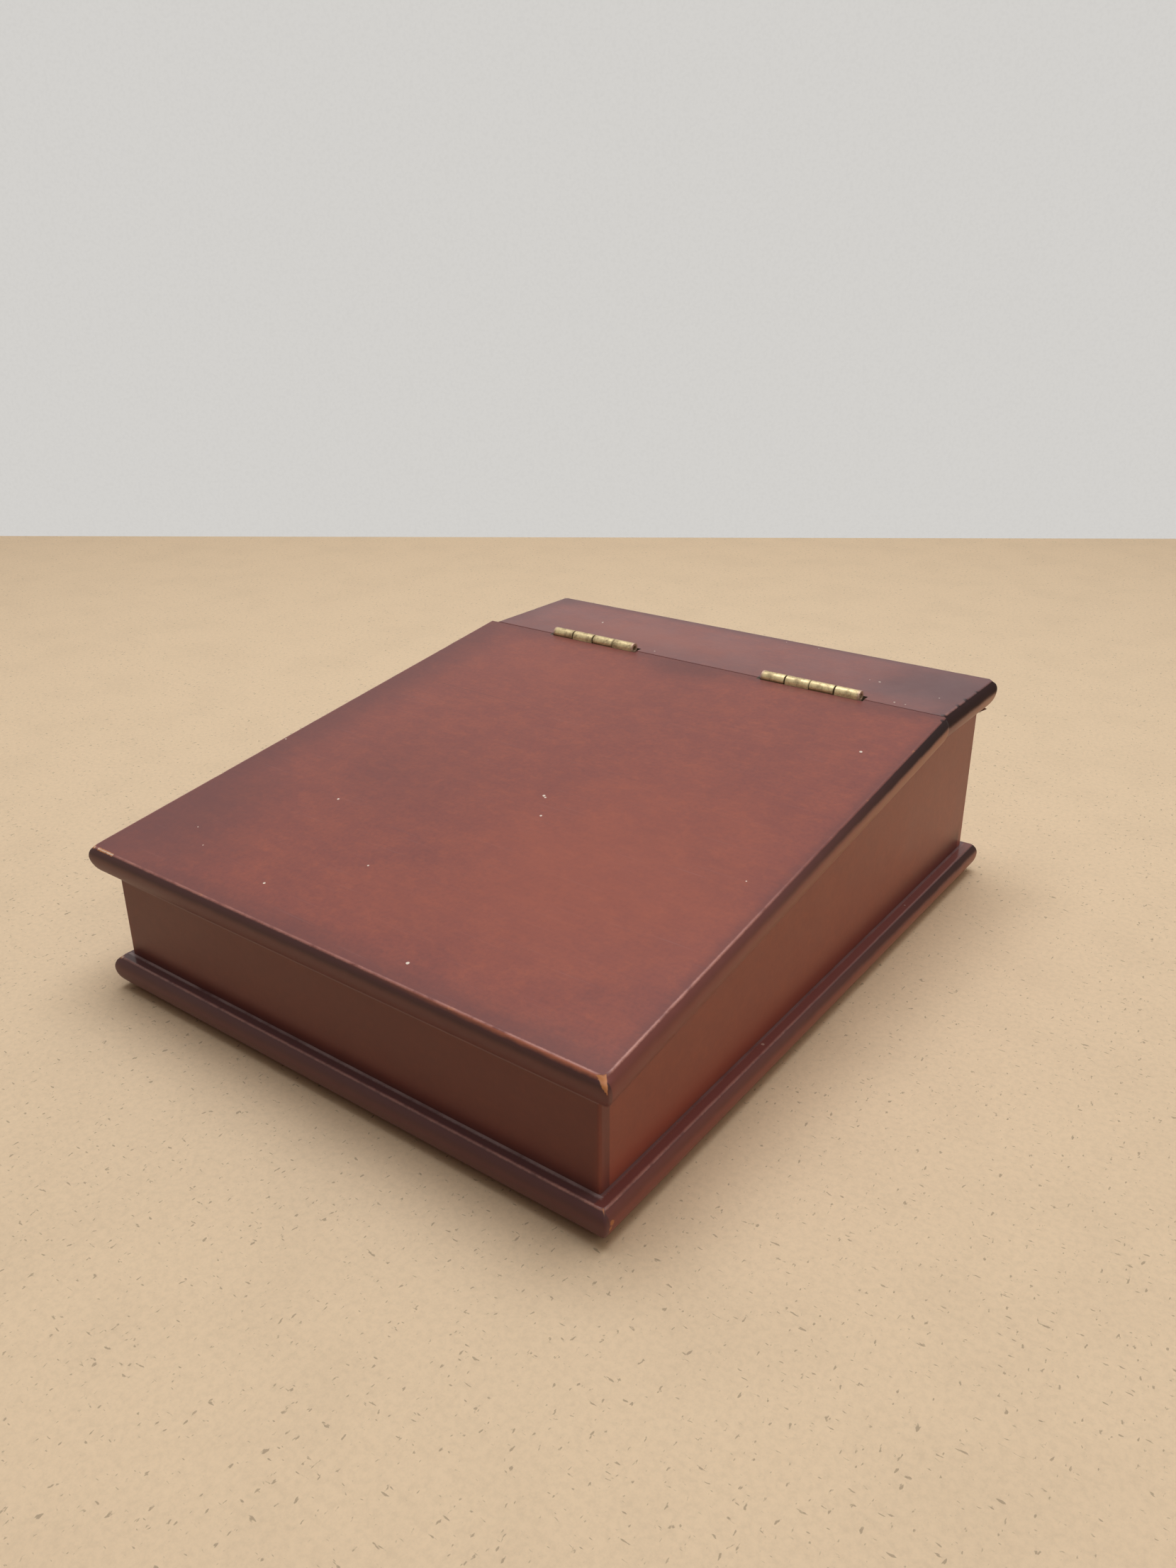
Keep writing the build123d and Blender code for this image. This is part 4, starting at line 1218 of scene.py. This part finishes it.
class LAPDESK_OT_stage(Piece, bpy.types.Operator):
    """Pale floor and backdrop, soft studio light and the camera"""
    bl_idname = "lapdesk.stage"
    bl_label = "Stage"

    def execute(self, context):
        context.scene.view_settings.view_transform = "Standard"
        view = context.scene.lap_desk_view
        self.floor()
        self.backdrop(view)
        self.lamp(context.scene)
        self.room(context.scene)
        self.camera(context.scene, view)
        return {"FINISHED"}

    def sheet(self, name, width, depth, matrix, material):
        """One flat sheet of the stage."""
        bm = bmesh.new()
        bmesh.ops.create_grid(bm, x_segments=1, y_segments=1, size=0.5)
        bmesh.ops.scale(bm, vec=(width, depth, 1.0), verts=bm.verts)
        bmesh.ops.transform(bm, matrix=matrix, verts=bm.verts)
        made = object_from(bm, name)
        made.data.materials.append(material)

    def floor(self):
        """The floor, with the faint flecks and fibres of stout paper."""
        f = Finish("stage_floor")
        point = f.point()
        pulp = f.cloud(point, 2.4, detail=5, roughness=0.75)
        broad = f.cloud(point, 45.0, detail=4)
        flecks = f.cloud(f.stretched(point, (1.0, 0.45, 1.0)), 1.7, detail=2).between(0.655, 0.72)
        cross = f.cloud(f.stretched(point, (0.35, 1.0, 1.0)), 1.5, detail=2).between(0.665, 0.73)
        shade = pulp.between(0.35, 0.75) * 0.6 + broad.between(0.4, 0.7) * 0.2
        f.colour = f.mix(self.colours.floor, darker(self.colours.floor, 0.82), shade)
        f.tint(darker(self.colours.floor, 0.45), flecks.most(cross) * 0.75)
        look = f.surface({"Roughness": 0.75, "Specular IOR Level": 0.2})
        side = 4.0
        self.sheet("stage_floor", side, side, Matrix.Identity(4), look)

    def backdrop(self, view):
        """The backdrop stands upright across the far end of the floor."""
        distance, turn, width, height = 1.30, radians(34.6), 6.0, 4.0
        heading = Matrix.Rotation(view.heading, 3, "Z") @ Vector((0, 1, 0))
        foot = Vector((view.place[0], view.place[1], 0.0)) + heading * distance
        upright = Matrix.Translation(foot) @ Matrix.Rotation(turn, 4, "Z") @ Matrix.Rotation(pi / 2, 4, "X")
        f = Finish("stage_backdrop")
        mottle = f.cloud(f.point(), 3.0, detail=4).between(0.4, 0.7)
        colour = f.mix(self.colours.backdrop, darker(self.colours.backdrop, 0.97), mottle)
        plain = f.node("ShaderNodeBsdfDiffuse", {}, {"Color": colour})
        glow = f.node("ShaderNodeEmission", {}, {"Color": colour, "Strength": 1.0})
        f.show(f.node("ShaderNodeMixShader", {}, {0: seen_by(f), 1: plain, 2: glow}))
        self.sheet("stage_backdrop", width, height, upright, f.material)

    def lamp(self, scene):
        """One large soft lamp overhead, a little behind the desk."""
        lamp_place, lit_place = Vector((-0.12, 0.22, 1.90)), Vector((0, 0, 0.05))
        light = bpy.data.lights.new("soft_lamp", "AREA")
        light.shape = "RECTANGLE"
        light.size, light.size_y = 1.6, 1.1
        light.energy = 28.8
        light.color = (0.955, 0.985, 1.0)
        lamp = bpy.data.objects.new("soft_lamp", light)
        lamp.location = lamp_place
        lamp.rotation_euler = (lit_place - lamp_place).to_track_quat("-Z", "Y").to_euler()
        scene.collection.objects.link(lamp)

    def room(self, scene):
        """A weak warm room that is dimmer towards the front."""
        brightest_way, warm = (0.35, 0.65, 0.67), (1.0, 0.85, 0.68, 1.0)
        darkest_side, range_of_light, weakest_light = -0.35, 0.62, 0.05
        f = Finish("soft_room", "worlds", "ShaderNodeOutputWorld")
        way = f.node("ShaderNodeTexCoord", {}, {}, "Generated")
        side = f.vector("DOT_PRODUCT", way, brightest_way, "Value").between(darkest_side, 1.0)
        strength = side * range_of_light + weakest_light
        dim = f.node("ShaderNodeBackground", {}, {"Color": warm, "Strength": strength})
        pale = f.node("ShaderNodeBackground", {}, {"Color": (*self.colours.backdrop, 1.0), "Strength": 1.0})
        f.show(f.node("ShaderNodeMixShader", {}, {0: seen_by(f), 1: dim, 2: pale}))
        scene.world = f.material

    def camera(self, scene, view):
        """The camera, at the photograph's place and angle."""
        camera = bpy.data.objects.new("camera", bpy.data.cameras.new("camera"))
        camera.data.sensor_width = 36.0
        camera.data.lens = view.lens
        camera.data.clip_start = 0.01
        turn = (Matrix.Rotation(view.heading, 4, "Z") @ Matrix.Rotation(pi / 2 - view.tilt, 4, "X")
                @ Matrix.Rotation(view.roll, 4, "Z"))
        camera.matrix_world = Matrix.Translation(view.place) @ turn
        scene.collection.objects.link(camera)
        scene.camera = camera


OPERATORS = (
    LAPDESK_OT_base_board, LAPDESK_OT_walls, LAPDESK_OT_rear_ledge, LAPDESK_OT_writing_lid,
    LAPDESK_OT_hinge_leaves, LAPDESK_OT_hinge_fixings, LAPDESK_OT_case_fixings, LAPDESK_OT_underside_baize,
    LAPDESK_OT_stage,
)
GROUPS = {"lap_desk_sizes": LapDeskSizes, "lap_desk_colours": LapDeskColours, "lap_desk_view": LapDeskView}


class LAPDESK_PT_panel(bpy.types.Panel):
    """Lists the desk's pieces and its sizes and colours"""
    bl_idname = "LAPDESK_PT_panel"
    bl_label = "Lap desk"
    bl_space_type = "VIEW_3D"
    bl_region_type = "UI"
    bl_category = "Lap desk"

    def draw(self, context):
        for operator in OPERATORS:
            self.layout.operator(operator.bl_idname)
        for group_name in GROUPS:
            group = getattr(context.scene, group_name)
            box = self.layout.box()
            for name in group.__annotations__:
                box.prop(group, name)


def register():
    """Adds the groups, the operators and the panel."""
    for group in GROUPS.values():
        bpy.utils.register_class(group)
    for operator in OPERATORS:
        bpy.utils.register_class(operator)
    bpy.utils.register_class(LAPDESK_PT_panel)
    for name, group in GROUPS.items():
        setattr(bpy.types.Scene, name, PointerProperty(type=group))


def unregister():
    """Takes them away again, in the opposite order."""
    for name in GROUPS:
        delattr(bpy.types.Scene, name)
    bpy.utils.unregister_class(LAPDESK_PT_panel)
    for operator in reversed(OPERATORS):
        bpy.utils.unregister_class(operator)
    for group in reversed(list(GROUPS.values())):
        bpy.utils.unregister_class(group)


def main():
    """Builds every piece and the stage."""
    register()
    bpy.ops.lapdesk.base_board()
    bpy.ops.lapdesk.walls()
    bpy.ops.lapdesk.rear_ledge()
    bpy.ops.lapdesk.writing_lid()
    bpy.ops.lapdesk.hinge_leaves()
    bpy.ops.lapdesk.hinge_fixings()
    bpy.ops.lapdesk.case_fixings()
    bpy.ops.lapdesk.underside_baize()
    bpy.ops.lapdesk.stage()


if __name__ == "__main__":
    main()
